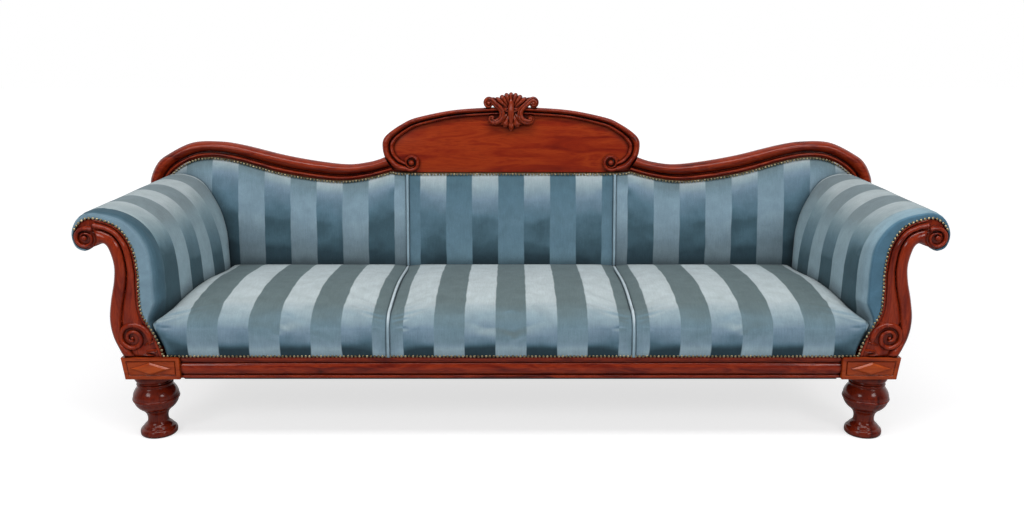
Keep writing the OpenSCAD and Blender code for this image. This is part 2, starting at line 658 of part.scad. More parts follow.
// The ornament: places are shares of its width from the middle, and of its height from its foot
fan_count = 7;
fan_spread = 104;
fan_root_share = [0, 0.42];
fan_centre_share = [0, 0.50];
fan_reach_share = 0.425;
fan_lobe_share = 0.052;
spine_share = [[0, 0.24], [0, 0.80]];
spine_r_share = 0.03;
fringe_shares = [
    [[-0.02, 0.32], [-0.09, 0.135]], [[-0.05, 0.34], [-0.16, 0.18]], [[-0.09, 0.36], [-0.23, 0.235]]
];
fringe_tip_share = [[0, 0.28], [0, 0.03]];
fringe_r_share = 0.026;
upper_eye_at_share = [-0.404, 0.73];
upper_coil_share = 0.062;
c_centre_share = [-0.248, 0.535];
c_radius_share = 0.124;
lower_eye_at_share = [-0.34, 0.345];
lower_coil_share = 0.044;
eye_share = 0.35;
coil_turn = 400;
coil_meets = 90;
upper_coil_steps = 12;
lower_coil_steps = 10;
c_turn = [70, -75];
c_turn_steps = 8;
c_ridge_share = 0.033;
function at_crest(share) = placed(
    [share], 0, up_back(overall_h) - carving_h / cos(back_lean), carving_w, carving_h)[0];
module crest_carving() color(mahogany) leaned() {
    face_n = crest_panel_n - crest_moulding_t - carving_relief / 2 - seat_gap;
    root = at_crest(fan_root_share);
    lobe_r = carving_w * fan_lobe_share;
    for (k = [0:fan_count - 1]) let (a = (k / (fan_count - 1) - 0.5) * fan_spread)
        lobe(root, at_crest(fan_centre_share) + carving_h * fan_reach_share * [sin(a), cos(a)],
             lobe_r / 2, lobe_r, face_n);
    lobe(at_crest(spine_share[0]), at_crest(spine_share[1]), carving_w * spine_r_share,
         carving_w * spine_r_share, face_n - carving_relief / 2);
    lobe(at_crest(fringe_tip_share[0]), at_crest(fringe_tip_share[1]), lobe_r,
         carving_w * fringe_r_share / 2, face_n);
    for (side = [0, 1]) mirror([side, 0, 0]) {
        c_scroll(face_n);
        for (f = fringe_shares)
            lobe(at_crest(f[0]), at_crest(f[1]), lobe_r, carving_w * fringe_r_share, face_n);
    }
    hull() for (g = ground_shares)
        translate([g[0] * carving_w, crest_panel_n - seat_gap, at_crest(g)[1]]) rotate([90, 0, 0])
            cylinder(r = lobe_r, h = crest_panel_n - seat_gap - face_n, $fn = carve_fn);
}
// A scroll that opens outwards, coiled at both ends
module c_scroll(y) {
    r_up = carving_w * upper_coil_share;
    r_low = carving_w * lower_coil_share;
    r_mid = carving_w * c_radius_share;
    path = concat(
        spiral(at_crest(upper_eye_at_share), r_up * eye_share, r_up, coil_meets + coil_turn, coil_meets,
               upper_coil_steps),
        spiral(at_crest(c_centre_share), r_mid, r_mid, c_turn[0], c_turn[1], c_turn_steps),
        spiral(at_crest(lower_eye_at_share), r_low, r_low * eye_share, -coil_meets, -coil_meets - coil_turn,
               lower_coil_steps));
    loft(ridge_rings(path, [for (p = path) carving_w * c_ridge_share], carving_relief, y));
}

// Back frame and upholstery

frame_lap = 14;
frame_drop = 26;
upright_top_share = 0.4;
module back_uprights() color(beech) for (x = [-seam_x, seam_x])
    leaning_bar(x - upright_w / 2, upright_w, rail_top, crest_foot_h + crest_h * upright_top_share);
back_rail_foot = 300;
back_rail_h = 40;
function bays() = [
    [post_outer_x + post_w, -seam_x - upright_w / 2],
    [-seam_x + upright_w / 2, seam_x - upright_w / 2],
    [seam_x + upright_w / 2, -post_outer_x - post_w]
];
module back_bottom_rail() color(beech) for (b = bays())
    leaning_bar(b[0], b[1] - b[0], back_rail_foot, back_rail_foot + back_rail_h);
bay_steps = 12;
module back_top_frame() color(beech) leaned() for (b = bays()) board(post_n, post_t) {
    line = [for (k = [0:bay_steps]) let (x = b[0] + (b[1] - b[0]) * k / bay_steps) [x, nail_s(x)]];
    polygon(concat(
        [for (p = line) p + [0, frame_lap]], [for (p = reversed(line)) p - [0, frame_drop]]));
}
back_web_columns = 12;
back_web_rows = 3;
module back_webbing() color(hessian) leaned() {
    reach = -post_outer_x - web_margin;
    low = up_back(back_rail_foot) + web_margin;
    pitch = 2 * (reach - post_w) / back_web_columns;
    for (i = [0:back_web_columns - 1]) let (x = (i - (back_web_columns - 1) / 2) * pitch)
        translate([x - web_w / 2, post_n - web_t, low])
            cube([web_w, web_t, min(nail_s(x - web_w / 2), nail_s(x + web_w / 2)) - low - web_margin]);
    for (k = [0:back_web_rows - 1]) let (
        s = low + (k + 1) * (up_back(nail_line_low) - low) / (back_web_rows + 1))
        translate([-reach, web_n, s - web_w / 2]) cube([2 * reach, web_t, web_w]);
}
// Levels of the face of the back from the seat to the nails, and its swell at each
back_level_shares = [0.02, 0.12, 0.32, 0.62, 0.85, 1];
back_swell_shares = [0, 0.7, 1, 1, 0.6, -0.3];
back_foot_half_share = 0.9;
back_side_share = 0.93;
pad_gap = 2.5;
module back_pad() color(velvet) leaned() {
    foot = up_back(back_rail_foot);
    top_half = -scroll_outer_x * back_side_share;
    rows = len(back_level_shares) - 1;
    loft([for (u = station_shares)
        let (
            x_top = u * top_half,
            top = nail_s(x_top) - pad_gap,
            face = [for (i = [0:rows])
                let (
                    v = back_level_shares[i],
                    x = x_top * (back_foot_half_share + (1 - back_foot_half_share) * v),
                    swell = back_crown * back_swell_shares[i] * (1 - seam_pull(x)) * (1 - end_pull(u)))
                    [x, -swell, v * top]],
            whole = concat([[x_top * back_foot_half_share, 0, foot]], face))
            concat(whole, [for (p = reversed(whole)) [p[0], web_n - seat_gap, p[2]]])]);
}
module outside_back_cover() color(velvet) leaned() {
    foot = up_at(rail_underside, post_back_n) + web_margin;
    outer = post_outer_x + cover_t;
    line = [
        for (k = [-bay_steps:bay_steps])
            let (x = -outer * k / bay_steps) [x, nail_s(x) + frame_lap - cover_t]
    ];
    board(post_back_n + seat_gap, cover_t) polygon(concat([[outer, foot]], line, [[-outer, foot]]));
}

// Arms

// The arm boards stand inside the scroll's outline, with room for webbing and cover
board_inset = cover_t + 2 * seat_gap;
module board_outline(inset) {
    intersection() {
        polygon(shifted(scroll_edge, inset));
        translate([-overall_w, rail_top]) square([overall_w, 2 * scroll_h]);
    }
}
// Where the ridge runs: from the eye of the upper volute along the neck to the eye of the lower
upper_eye_share = [0.144, 0.866];
upper_coil_r_share = 0.118;
lower_eye_share = [0.625, 0.141];
lower_coil_r_share = 0.162;
coil_end_share = 0.22;
neck_shares = [
    [0.31, 0.945], [0.46, 0.895], [0.57, 0.80], [0.617, 0.66], [0.605, 0.51], [0.545, 0.38], [0.482, 0.27]
];
function at_scroll(share) = placed([share], scroll_outer_x, rail_top, scroll_w, scroll_h)[0];
upper_coil_r = scroll_w * upper_coil_r_share;
lower_coil_r = scroll_w * lower_coil_r_share;
// Where each coil starts and ends, in degrees, and how many points it has
upper_turn = [560, 100];
upper_turn_steps = 20;
lower_turn = [180, 800];
lower_turn_steps = 30;
ridge_path = concat(
    spiral(at_scroll(upper_eye_share), upper_coil_r * coil_end_share, upper_coil_r,
           upper_turn[0], upper_turn[1], upper_turn_steps),
    smooth(placed(neck_shares, scroll_outer_x, rail_top, scroll_w, scroll_h), scroll_steps),
    spiral(at_scroll(lower_eye_share), lower_coil_r, lower_coil_r * coil_end_share,
           lower_turn[0], lower_turn[1], lower_turn_steps));
// Half the ridge's width in the coils, and what it gains along the neck
coil_ridge_share = 0.022;
neck_ridge_share = 0.062;
neck_taper = 6;
neck_bias = 0.92;
ridge_widths = [for (i = [0:len(ridge_path) - 1]) let (t = i / (len(ridge_path) - 1))
    scroll_w * (coil_ridge_share + neck_ridge_share * pow(sin(180 * pow(t, neck_bias)), neck_taper))];
bead_w_share = 0.016;
bead_inset_share = 0.035;
bead_first = 4;
leaf_shares = [
    [[0.80, 0.11], [0.93, 0.035]], [[0.79, 0.15], [0.90, 0.085]], [[0.76, 0.19], [0.86, 0.13]],
    [[0.72, 0.22], [0.80, 0.175]], [[0.30, 0.885], [0.22, 0.955]], [[0.27, 0.86], [0.155, 0.965]],
    [[0.36, 0.90], [0.33, 0.965]], [[0.66, 0.235], [0.735, 0.215]]
];
leaf_root_share = 0.018;
boss_r_share = 0.042;
leaf_tip_share = 0.03;
module arm_facing() {
    bead = shifted([for (i = [nailed_last * scroll_steps + bead_first:len(scroll_edge) - 2]) scroll_edge[i]],
                   scroll_w * bead_inset_share);
    board(face_y, scroll_t) polygon(scroll_edge);
    loft(ridge_rings(ridge_path, ridge_widths, ridge_relief, face_y));
    loft(ridge_rings(bead, [for (p = bead) scroll_w * bead_w_share], ridge_relief / 2, face_y));
    volute_boss(at_scroll(upper_eye_share), scroll_w * boss_r_share);
    volute_boss(at_scroll(lower_eye_share), scroll_w * boss_r_share);
    for (f = leaf_shares)
        lobe(at_scroll(f[0]), at_scroll(f[1]), scroll_w * leaf_root_share, scroll_w * leaf_tip_share, face_y);
}
module volute_boss(centre, r) {
    translate([centre[0], face_y, centre[1]]) sphere(r, $fn = carve_fn);
}
module left_arm_facing() color(mahogany) arm_facing();
module right_arm_facing() color(mahogany) mirror([1, 0, 0]) arm_facing();

module arm_front_board() board(face_y + scroll_t, arm_board_t) board_outline(board_inset);
module left_arm_front_board() color(beech) arm_front_board();
module right_arm_front_board() color(beech) mirror([1, 0, 0]) arm_front_board();

rear_board_y = lean_y(rail_top, -rail_proud) - arm_board_t - web_t;
module arm_rear_board() board(rear_board_y, arm_board_t) board_outline(board_inset);
module left_arm_rear_board() color(beech) arm_rear_board();
module right_arm_rear_board() color(beech) mirror([1, 0, 0]) arm_rear_board();

roll_foot_share = 0.83;
arm_inner_y = face_y + scroll_t + arm_board_t;
module arm_roll_rail() board(arm_inner_y, rear_board_y - arm_inner_y) intersection() {
    board_outline(board_inset);
    translate([-overall_w, rail_top + scroll_h * roll_foot_share]) square([overall_w, scroll_h]);
}
module left_arm_roll_rail() color(beech) arm_roll_rail();
module right_arm_roll_rail() color(beech) mirror([1, 0, 0]) arm_roll_rail();

arm_rail_w = 42;
arm_rail_h = 30;
module arm_bottom_rail() board(arm_inner_y, rear_board_y - arm_inner_y) intersection() {
    board_outline(board_inset);
    translate([scroll_foot_x - arm_rail_w, rail_top]) square([arm_rail_w, arm_rail_h]);
}
module left_arm_bottom_rail() color(beech) arm_bottom_rail();
module right_arm_bottom_rail() color(beech) mirror([1, 0, 0]) arm_bottom_rail();

arm_straps = 4;
strap_first = 2;
strap_last = 24;
module arm_webbing() {
    edge = [for (i = [strap_first:strap_last]) scroll_edge[i]];
    pitch = (rear_board_y - arm_inner_y) / arm_straps;
    for (k = [0:arm_straps - 1])
        board(arm_inner_y + (k + 0.5) * pitch - web_w / 2, web_w)
            polygon(concat(shifted(edge, seat_gap), reversed(shifted(edge, seat_gap + web_t))));
}
module left_arm_webbing() color(hessian) arm_webbing();
module right_arm_webbing() color(hessian) mirror([1, 0, 0]) arm_webbing();

// Stations from the front of the arm to the back, and how full the stuffing is at each
arm_station_shares = [
    [-0.006, 0.72], [0, 0.88], [0.015, 0.97], [0.04, 1], [0.085, 1], [0.13, 1], [0.52, 1], [1, 1]
];
module arm_pad() {
    rest = shifted(pad_edge, -seat_gap);
    loft([for (s = arm_station_shares)
        let (face = [for (i = [0:len(pad_edge) - 1])
            rest[i] + (arm_face(i, max(s[0], 0)) - pad_edge[i]) * s[1]])
            concat(
                [for (p = face) [p[0], arm_y(s[0], p[1]), p[1]]],
                [for (p = reversed(rest)) [p[0], arm_y(s[0], p[1]), p[1]]])]);
}
module left_arm_pad() color(velvet) arm_pad();
module right_arm_pad() color(velvet) mirror([1, 0, 0]) arm_pad();

cover_from = nailed_last * scroll_steps + 1;
module outside_arm_cover() in_front_of(post_back_n) {
    edge = [for (i = [cover_from:len(scroll_edge) - 1]) scroll_edge[i]];
    heel = edge[len(edge) - 1];
    board(face_y + scroll_t, seat_d + back_pad_t)
        polygon(concat(shifted(edge, seat_gap), reversed(shifted(edge, cover_t + seat_gap))));
    translate([heel[0] + seat_gap, block_back_y + seat_gap, rail_underside])
        cube([cover_t, seat_d, rail_h + cover_t / 2]);
}
module left_outside_arm_cover() color(velvet) outside_arm_cover();
module right_outside_arm_cover() color(velvet) mirror([1, 0, 0]) outside_arm_cover();

front_seat_rail();
rear_seat_rail();
left_side_rail();
right_side_rail();
seat_cross_rails();
corner_blocks();
frame_dowels();
left_leg_block();
right_leg_block();
left_front_foot();
right_front_foot();
left_rear_leg();
right_rear_leg();
seat_webbing();
seat_springs();
spring_canvas();
seat_pad();
bottom_cloth();
back_uprights();
back_bottom_rail();
back_top_frame();
back_webbing();
back_pad();
outside_back_cover();
left_top_rail();
right_top_rail();
crest_panel();
crest_moulding();
crest_carving();
left_arm_facing();
right_arm_facing();
left_arm_front_board();
right_arm_front_board();
left_arm_rear_board();
right_arm_rear_board();
left_arm_roll_rail();
right_arm_roll_rail();
left_arm_bottom_rail();
right_arm_bottom_rail();
left_arm_webbing();
right_arm_webbing();
left_arm_pad();
right_arm_pad();
left_outside_arm_cover();
right_outside_arm_cover();
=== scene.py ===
import logging
import math
from dataclasses import dataclass, field, replace
from enum import Enum
from itertools import accumulate
from typing import Callable, Sequence

import bmesh
import bpy
from mathutils import Matrix, Vector, noise


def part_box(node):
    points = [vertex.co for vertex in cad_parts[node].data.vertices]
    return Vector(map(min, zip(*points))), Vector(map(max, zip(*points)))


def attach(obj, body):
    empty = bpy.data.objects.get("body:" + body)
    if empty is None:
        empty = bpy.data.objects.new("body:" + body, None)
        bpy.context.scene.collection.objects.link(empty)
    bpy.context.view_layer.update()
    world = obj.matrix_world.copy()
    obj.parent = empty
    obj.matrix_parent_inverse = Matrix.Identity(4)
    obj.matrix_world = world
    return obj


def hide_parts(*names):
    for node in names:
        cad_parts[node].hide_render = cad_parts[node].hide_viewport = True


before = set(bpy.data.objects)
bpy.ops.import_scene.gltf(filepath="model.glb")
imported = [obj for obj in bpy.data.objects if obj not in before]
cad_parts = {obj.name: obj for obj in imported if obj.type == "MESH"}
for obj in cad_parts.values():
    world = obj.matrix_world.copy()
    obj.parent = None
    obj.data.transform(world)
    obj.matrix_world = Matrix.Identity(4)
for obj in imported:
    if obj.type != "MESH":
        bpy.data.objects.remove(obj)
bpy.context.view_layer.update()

# A three-seat sofa with scrolled arms, serpentine show-wood top rails and a carved crest. Lengths are
# in millimetres until a piece is finished, which puts it in the frame's metres.

log = logging.getLogger("sofa")

MM = 0.001
Pair = tuple[float, float]
Mesh = bmesh.types.BMesh
Vert = bmesh.types.BMVert
Socket = bpy.types.NodeSocket
Ramp = tuple[tuple[float, str], ...]
Place = Callable[[float, float], Vector]


class Side(Enum):
    """The end of the sofa that a piece belongs to, seen from the front."""

    LEFT = "left"
    RIGHT = "right"


class Axis(Enum):
    """An axis of the frame that stripes are counted along or that grain follows."""

    X = 0
    Y = 1
    Z = 2


@dataclass(frozen=True)
class Plan:
    """Places and sizes that the whole sofa shares, in millimetres."""

    half_w: float = 1200.0
    front_y: float = -350.0
    face_y: float = -340.0
    back_y: float = 223.0
    rail_low: float = 196.0
    rail_top: float = 261.0
    rail_t: float = 44.0
    seat_line: float = 387.0
    back_lean: float = 8.0
    seam_x: float = 345.0
    block_outer_x: float = -1096.9
    block_inner_x: float = -933.9
    block_d: float = 135.0
    block_cant: float = 8.0
    foot_x: float = -1037.4
    foot_y: float = -270.0
    scroll_x: float = -1195.0
    scroll_w: float = 216.0
    scroll_h: float = 397.0
    scroll_t: float = 22.0
    nail_low: float = 664.0
    rail_rise: float = 128.0
    top_rail_t: float = 54.0
    post_n: float = 40.0
    post_back_n: float = 70.0
    post_x: float = -1083.9
    crest_w: float = 854.0
    crest_foot: float = 691.0
    crest_h: float = 213.0
    crest_panel_n: float = 18.0
    stripe: float = 172.5

    @property
    def slope(self) -> float:
        """Tangent of the lean of the back."""
        return math.tan(math.radians(self.back_lean))

    @property
    def upright(self) -> float:
        """Cosine of the lean of the back."""
        return math.cos(math.radians(self.back_lean))

    def up_back(self, height: float) -> float:
        """Distance along the leaning back of a height above the floor."""
        return (height - self.seat_line) / self.upright

    def lean_y(self, height: float, behind: float) -> float:
        """Depth of the plane that lies behind the face of the back at a height."""
        return self.back_y + (height - self.seat_line) * self.slope + behind / self.upright

    def leaned(self) -> Matrix:
        """Placement of what is drawn upright, with Z from the seat line and Y behind the face."""
        turn = Matrix.Rotation(math.radians(-self.back_lean), 4, "X")
        return Matrix.Translation((0.0, self.back_y, self.seat_line)) @ turn


PLAN = Plan()
OUT = Vector((0, -1, 0))


def linear(code: str, alpha: float = 1.0) -> tuple[float, float, float, float]:
    """Turn an sRGB hex colour to linear.

    Args:
        code: The colour as "#rrggbb".
        alpha: The fourth value.

    Returns:
        The linear colour.
    """
    parts = (int(code[i:i + 2], 16) / 255 for i in (1, 3, 5))
    red, green, blue = (p / 12.92 if p <= 0.04045 else ((p + 0.055) / 1.055) ** 2.4 for p in parts)
    return red, green, blue, alpha


def feed(node: bpy.types.Node, inputs: dict) -> None:
    """Fill a node's inputs.

    Args:
        node: The node.
        inputs: Input names or indices, each with a value, a hex colour or the socket that feeds it.
    """
    for name, value in inputs.items():
        if isinstance(value, Socket):
            node.id_data.links.new(value, node.inputs[name])
        else:
            node.inputs[name].default_value = linear(value) if isinstance(value, str) else value


def add_node(tree: bpy.types.NodeTree, kind: str, inputs: dict | None = None, **settings: object) -> bpy.types.Node:
    """Add a node with its settings and its inputs.

    Args:
        tree: The node tree that gets it.
        kind: The node's type name, without its first part.
        inputs: What feed takes.
        **settings: The node's own properties.

    Returns:
        The node.
    """
    node = tree.nodes.new(f"ShaderNode{kind}")
    for name, value in settings.items():
        setattr(node, name, value)
    feed(node, inputs or {})
    return node


@dataclass(frozen=True)
class Graph:
    """A node tree with a short call for each kind of node that the finishes share."""

    tree: bpy.types.NodeTree

    def spot(self, kind: str = "Object") -> Socket:
        """Place on the object, or its normal."""
        return add_node(self.tree, "TexCoord").outputs[kind]

    def parts(self, vector: Socket) -> bpy.types.NodeOutputs:
        """The three parts of a vector."""
        return add_node(self.tree, "SeparateXYZ", {0: vector}).outputs

    def attribute(self, name: str) -> Socket:
        """A value that the mesh's points carry."""
        return add_node(self.tree, "Attribute", attribute_name=name).outputs["Fac"]

    def stretched(self, vector: Socket, axis: Axis, along: float, aside: float) -> Socket:
        """Coordinates scaled along one axis and aside of it."""
        scale = [along if axis.value == i else aside for i in range(3)]
        return add_node(self.tree, "Mapping", {"Vector": vector, "Scale": scale}).outputs["Vector"]

    def noise(self, vector: Socket, size_mm: float, detail: float, roughness: float = 0.5, warp: float = 0.0) -> Socket:
        """Cloudy values whose patches have a real size."""
        return add_node(self.tree, "TexNoise", {
            "Vector": vector, "Scale": 1 / (size_mm * MM), "Detail": detail, "Roughness": roughness,
            "Distortion": warp}).outputs["Fac"]

    def span(self, value: Socket, source: Pair = (0.0, 1.0), target: Pair = (0.0, 1.0), kind: str = "LINEAR") -> Socket:
        """Carry a value from one span to another."""
        ends = dict(zip(("From Min", "From Max", "To Min", "To Max"), (*source, *target)))
        return add_node(self.tree, "MapRange", {"Value": value, **ends}, interpolation_type=kind).outputs["Result"]

    def math(self, operation: str, first: Socket | float, second: Socket | float = 0.0) -> Socket:
        """Reckon with two values."""
        return add_node(self.tree, "Math", {0: first, 1: second}, operation=operation).outputs[0]

    def mix(self, share: Socket | float, first: Socket | str, second: Socket | str, blend: str = "MIX") -> Socket:
        """Mix two colours."""
        inputs = {0: share, 6: first, 7: second}
        return add_node(self.tree, "Mix", inputs, data_type="RGBA", blend_type=blend).outputs[2]

    def openness(self, reach_mm: float, samples: int = 6) -> Socket:
        """How open the surface is: 1 in the open and 0 deep in a hollow."""
        return add_node(self.tree, "AmbientOcclusion", {"Distance": reach_mm * MM}, samples=samples).outputs["AO"]

    def relief(self, height: Socket, strength: float, depth_mm: float) -> Socket:
        """A bumpy normal."""
        return add_node(self.tree, "Bump", {
            "Height": height, "Strength": strength, "Distance": depth_mm * MM}).outputs["Normal"]

    def ramp(self, factor: Socket, stops: Ramp) -> Socket:
        """Colour a value by stops.

        Args:
            factor: The value.
            stops: Places from 0 to 1, each with its hex colour, in order.

        Returns:
            The colour.
        """
        node = add_node(self.tree, "ValToRGB", {0: factor})
        scale = node.color_ramp.elements
        while len(scale) < len(stops):
            scale.new(0.5)
        for mark, (place, code) in zip(scale, stops):
            mark.position, mark.color = place, linear(code)
        return node.outputs["Color"]


def bump_out(start: float, end: float, value: float) -> float:
    """Smooth rise from 0 at start to 1 at end."""
    t = min(max((value - start) / (end - start), 0.0), 1.0)
    return t * t * (3 - 2 * t)


def arch(start: float, end: float, value: float, power: float = 0.5) -> float:
    """Rounded ridge between start and end, 1 at its middle.

    Args:
        start: Where the ridge starts.
        end: Where it ends.
        value: The place that is asked for.
        power: 0.5 for a half round, 1 for a flatter ridge with soft feet.

    Returns:
        The ridge's height as a share.
    """
    t = (value - start) / (end - start)
    return (4 * t * (1 - t)) ** power if 0 < t < 1 else 0.0


def ridge(start: float, peak: float, end: float, value: float, power: float = 0.7) -> float:
    """Rounded ridge whose crown lies off its middle.

    Args:
        start: Where the ridge starts.
        peak: Where it is highest.
        end: Where it ends.
        value: The place that is asked for.
        power: How full its sides are; less is fuller.

    Returns:
        The ridge's height as a share.
    """
    if not start < value < end:
        return 0.0
    t = (value - start) / (peak - start) if value < peak else (end - value) / (end - peak)
    return math.sin(math.pi * t / 2) ** power


def between(value: float, marks: Sequence[Pair], eased: bool = False) -> float:
    """Read a value between marks, and the nearest mark's beyond them.

    Args:
        value: The place that is asked for.
        marks: Places in order, each with its value.
        eased: Whether each step between two marks is smooth; otherwise it is straight.

    Returns:
        The value there.
    """
    for (a, p), (b, q) in zip(marks, marks[1:]):
        if value <= b:
            return p + (q - p) * (bump_out(a, b, value) if eased else max(value - a, 0.0) / (b - a))
    return marks[-1][1]


def lengths(line: Sequence[Vector]) -> list[float]:
    """Length of a line up to each of its points."""
    return list(accumulate(((b - a).length for a, b in zip(line, line[1:])), initial=0.0))


@dataclass(frozen=True)
class Track:
    """A smooth curve through points."""

    points: tuple[tuple[float, ...], ...]

    def at(self, share: float) -> Vector:
        """Find a point of the curve.

        Args:
            share: 0 at the first point and 1 at the last, even between points.

        Returns:
            The point, with as many values as the curve's points.
        """
        last = len(self.points) - 1
        place = min(max(share, 0.0), 1.0) * last
        i = min(int(place), last - 1)
        t = place - i
        a, b, c, d = (Vector(self.points[min(max(i + k, 0), last)]) for k in (-1, 0, 1, 2))
        return b + (c - a) * t / 2 + (2 * a - 5 * b + 4 * c - d) * t * t / 2 + (3 * b - a - 3 * c + d) * t ** 3 / 2

    def sampled(self, count: int) -> list[Vector]:
        """List points of the curve, count of them."""
        return [self.at(k / (count - 1)) for k in range(count)]

    def paced(self, pitch: float) -> list[Vector]:
        """Walk the curve in equal steps.

        Args:
            pitch: The wanted step, which is changed a little to end at the curve's end.

        Returns:
            The points.
        """
        fine = self.sampled(60 * len(self.points))
        run = lengths(fine)
        count = max(1, round(run[-1] / pitch))
        found, j = [], 0
        for k in range(count + 1):
            want = run[-1] * k / count
            while j < len(run) - 2 and run[j + 1] < want:
                j += 1
            step = run[j + 1] - run[j]
            found.append(fine[j].lerp(fine[j + 1], (want - run[j]) / step if step else 0.0))
        return found


def through(points: Sequence[Sequence[float]]) -> Track:
    """A smooth curve through points."""
    return Track(tuple(tuple(p) for p in points))


def stood(p: Vector, y: float) -> Vector:
    """Place in space of a point of the XZ plane."""
    return Vector((p.x, y, p.y))


def wound(eye: Vector, turns: Sequence[Vector], y: float) -> list[Vector]:
    """Path round an eye in the XZ plane, from angles in degrees and radii."""
    return [stood(eye + m.y * Vector((math.cos(math.radians(m.x)), math.sin(math.radians(m.x)))), y) for m in turns]


def spiral(centre: Pair, start: Pair, end: Pair, count: int) -> list[Vector]:
    """Points of a spiral in the XZ plane, between two pairs of an angle in degrees and a radius."""
    marks = [Vector(start).lerp(Vector(end), k / (count - 1)) for k in range(count)]
    return [p.xz for p in wound(Vector(centre), marks, 0.0)]


def shaped_grid(columns: int, rows: int, place: Place) -> Mesh:
    """Start a mesh from a grid that is wrapped over a form.

    Args:
        columns: Faces across.
        rows: Faces along.
        place: The form's point for a share across and a share along.

    Returns:
        The mesh, whose points keep their shares in the layers "across" and "along".
    """
    bm = bmesh.new()
    bmesh.ops.create_grid(bm, x_segments=columns, y_segments=rows, size=0.5)
    across = bm.verts.layers.float.new("across")
    along = bm.verts.layers.float.new("along")
    for vert in bm.verts:
        u, v = vert.co.x + 0.5, vert.co.y + 0.5
        vert[across], vert[along] = u, v
        vert.co = place(u, v)
    return bm


def share_layers(bm: Mesh) -> tuple:
    """The layers that hold a wrapped grid's shares across and along."""
    return bm.verts.layers.float["across"], bm.verts.layers.float["along"]


def back_up(bm: Mesh, place: Place) -> list[Vert]:
    """Close a wrapped grid with a second sheet behind the first.

    Args:
        bm: The mesh from shaped_grid.
        place: The back sheet's point for a share across and a share along.

    Returns:
        The points of the back sheet.
    """
    across, along = share_layers(bm)
    behind = points_of(drawn_out(bm, bm.faces))
    for vert in behind:
        vert.co = place(vert[across], vert[along])
    return behind


def drawn_out(bm: Mesh, faces: Sequence[bmesh.types.BMFace], step: Sequence[float] = (0, 0, 0)) -> list:
    """Extrude faces and keep the first ones.

    Args:
        bm: The mesh.
        faces: The faces.
        step: How far the new ones go.

    Returns:
        The new vertices, edges and faces.
    """
    made = bmesh.ops.extrude_face_region(bm, geom=list(faces), use_keep_orig=True)["geom"]
    bmesh.ops.translate(bm, vec=step, verts=points_of(made))
    return made


def points_of(made: Sequence) -> list[Vert]:
    """The vertices among what a mesh operator has made."""
    return [g for g in made if isinstance(g, Vert)]


def carved_strip(columns: int, rows: int, edges: Sequence[Track], depth: Callable[[float, float, Vector], float],
                 rear: float) -> Mesh:
    """Carve the face of a strip between two edges in the XZ plane, and close it with a flat back.

    Args:
        columns: Faces across.
        rows: Faces along.
        edges: The strip's two edges.
        depth: The face's Y for a share across, a share along and the point of the XZ plane there.
        rear: Y of the back.

    Returns:
        The strip's mesh.
    """

    def spot(s: float, t: float) -> Vector:
        """Point between the edges."""
        return edges[0].at(t).lerp(edges[1].at(t), s)

    def face(s: float, t: float) -> Vector:
        """Point of the carved face."""
        p = spot(s, t)
        return stood(p, depth(s, t, p))

    bm = shaped_grid(columns, rows, face)
    back_up(bm, lambda s, t: stood(spot(s, t), rear))
    return bm


def station(origin: Vector, along: Vector, up: Vector, wide: float, high: float) -> Matrix:
    """Placement of a section that crosses a path.

    Args:
        origin: The path's point.
        along: The path's direction there.
        up: Where the section's second axis points, as far as the direction lets it.
        wide: Length of a unit of the section's first axis.
        high: Length of a unit of its second axis.

    Returns:
        The section's placement.
    """
    ahead = along.normalized()
    across = ahead.cross(up).normalized()
    top = across.cross(ahead)
    turn = Matrix((across * wide, top * high, ahead)).transposed().to_4x4()
    return Matrix.Translation(origin) @ turn


def sweep(bm: Mesh, section: Sequence[Pair], stations: Sequence[Matrix]) -> None:
    """Carry a closed section along its stations and close both ends.

    Args:
        bm: The mesh that gets the form.
        section: The section's outline.
        stations: Its placements, in order.
    """
    verts = [bm.verts.new(stations[0] @ Vector((x, y, 0.0))) for x, y in section]
    ring = [bm.edges.new((a, b)) for a, b in zip(verts, verts[1:] + verts[:1])]
    bmesh.ops.contextual_create(bm, geom=ring)
    for before, after in zip(stations, stations[1:]):
        made = bmesh.ops.extrude_edge_only(bm, edges=ring)["geom"]
        fresh = set(points_of(made))
        ring = [g for g in made if isinstance(g, bmesh.types.BMEdge) and set(g.verts) <= fresh]
        bmesh.ops.transform(bm, matrix=after @ before.inverted(), verts=list(fresh))
    bmesh.ops.contextual_create(bm, geom=ring)


def round_section(count: int) -> list[Pair]:
    """Outline of a unit circle."""
    return [(math.cos(2 * math.pi * k / count), math.sin(2 * math.pi * k / count)) for k in range(count)]


def rod(bm: Mesh, path: Sequence[Vector], widths: Sequence[float], heights: Sequence[float],
        up: Vector, section: Sequence[Pair]) -> None:
    """Carry a section along a path, with its own width and height at each point.

    Args:
        bm: The mesh that gets the form.
        path: The path's points.
        widths: Half width of the section at each point.
        heights: Height of the section's unit at each point.
        up: Where the section's second axis points.
        section: The section's outline, in units.
    """
    last = len(path) - 1
    stations = [
        station(p, path[min(i + 1, last)] - path[max(i - 1, 0)], up, widths[i], heights[i])
        for i, p in enumerate(path)
    ]
    sweep(bm, section, stations)


def lathe(bm: Mesh, profile: Sequence[Pair], centre: Vector, axis: Vector, steps: int) -> None:
    """Turn a profile round an axis.

    Args:
        bm: The mesh that gets the form.
        profile: Radius and distance along the axis, in order.
        centre: Where the axis starts.
        axis: Its direction.
        steps: How many facets there are round it.
    """
    across = axis.orthogonal().normalized()
    verts = [bm.verts.new(centre + across * r + axis * h) for r, h in profile]
    edges = [bm.edges.new(pair) for pair in zip(verts, verts[1:])]
    bmesh.ops.spin(bm, geom=verts + edges, cent=centre, axis=axis, angle=2 * math.pi, steps=steps, use_merge=True)


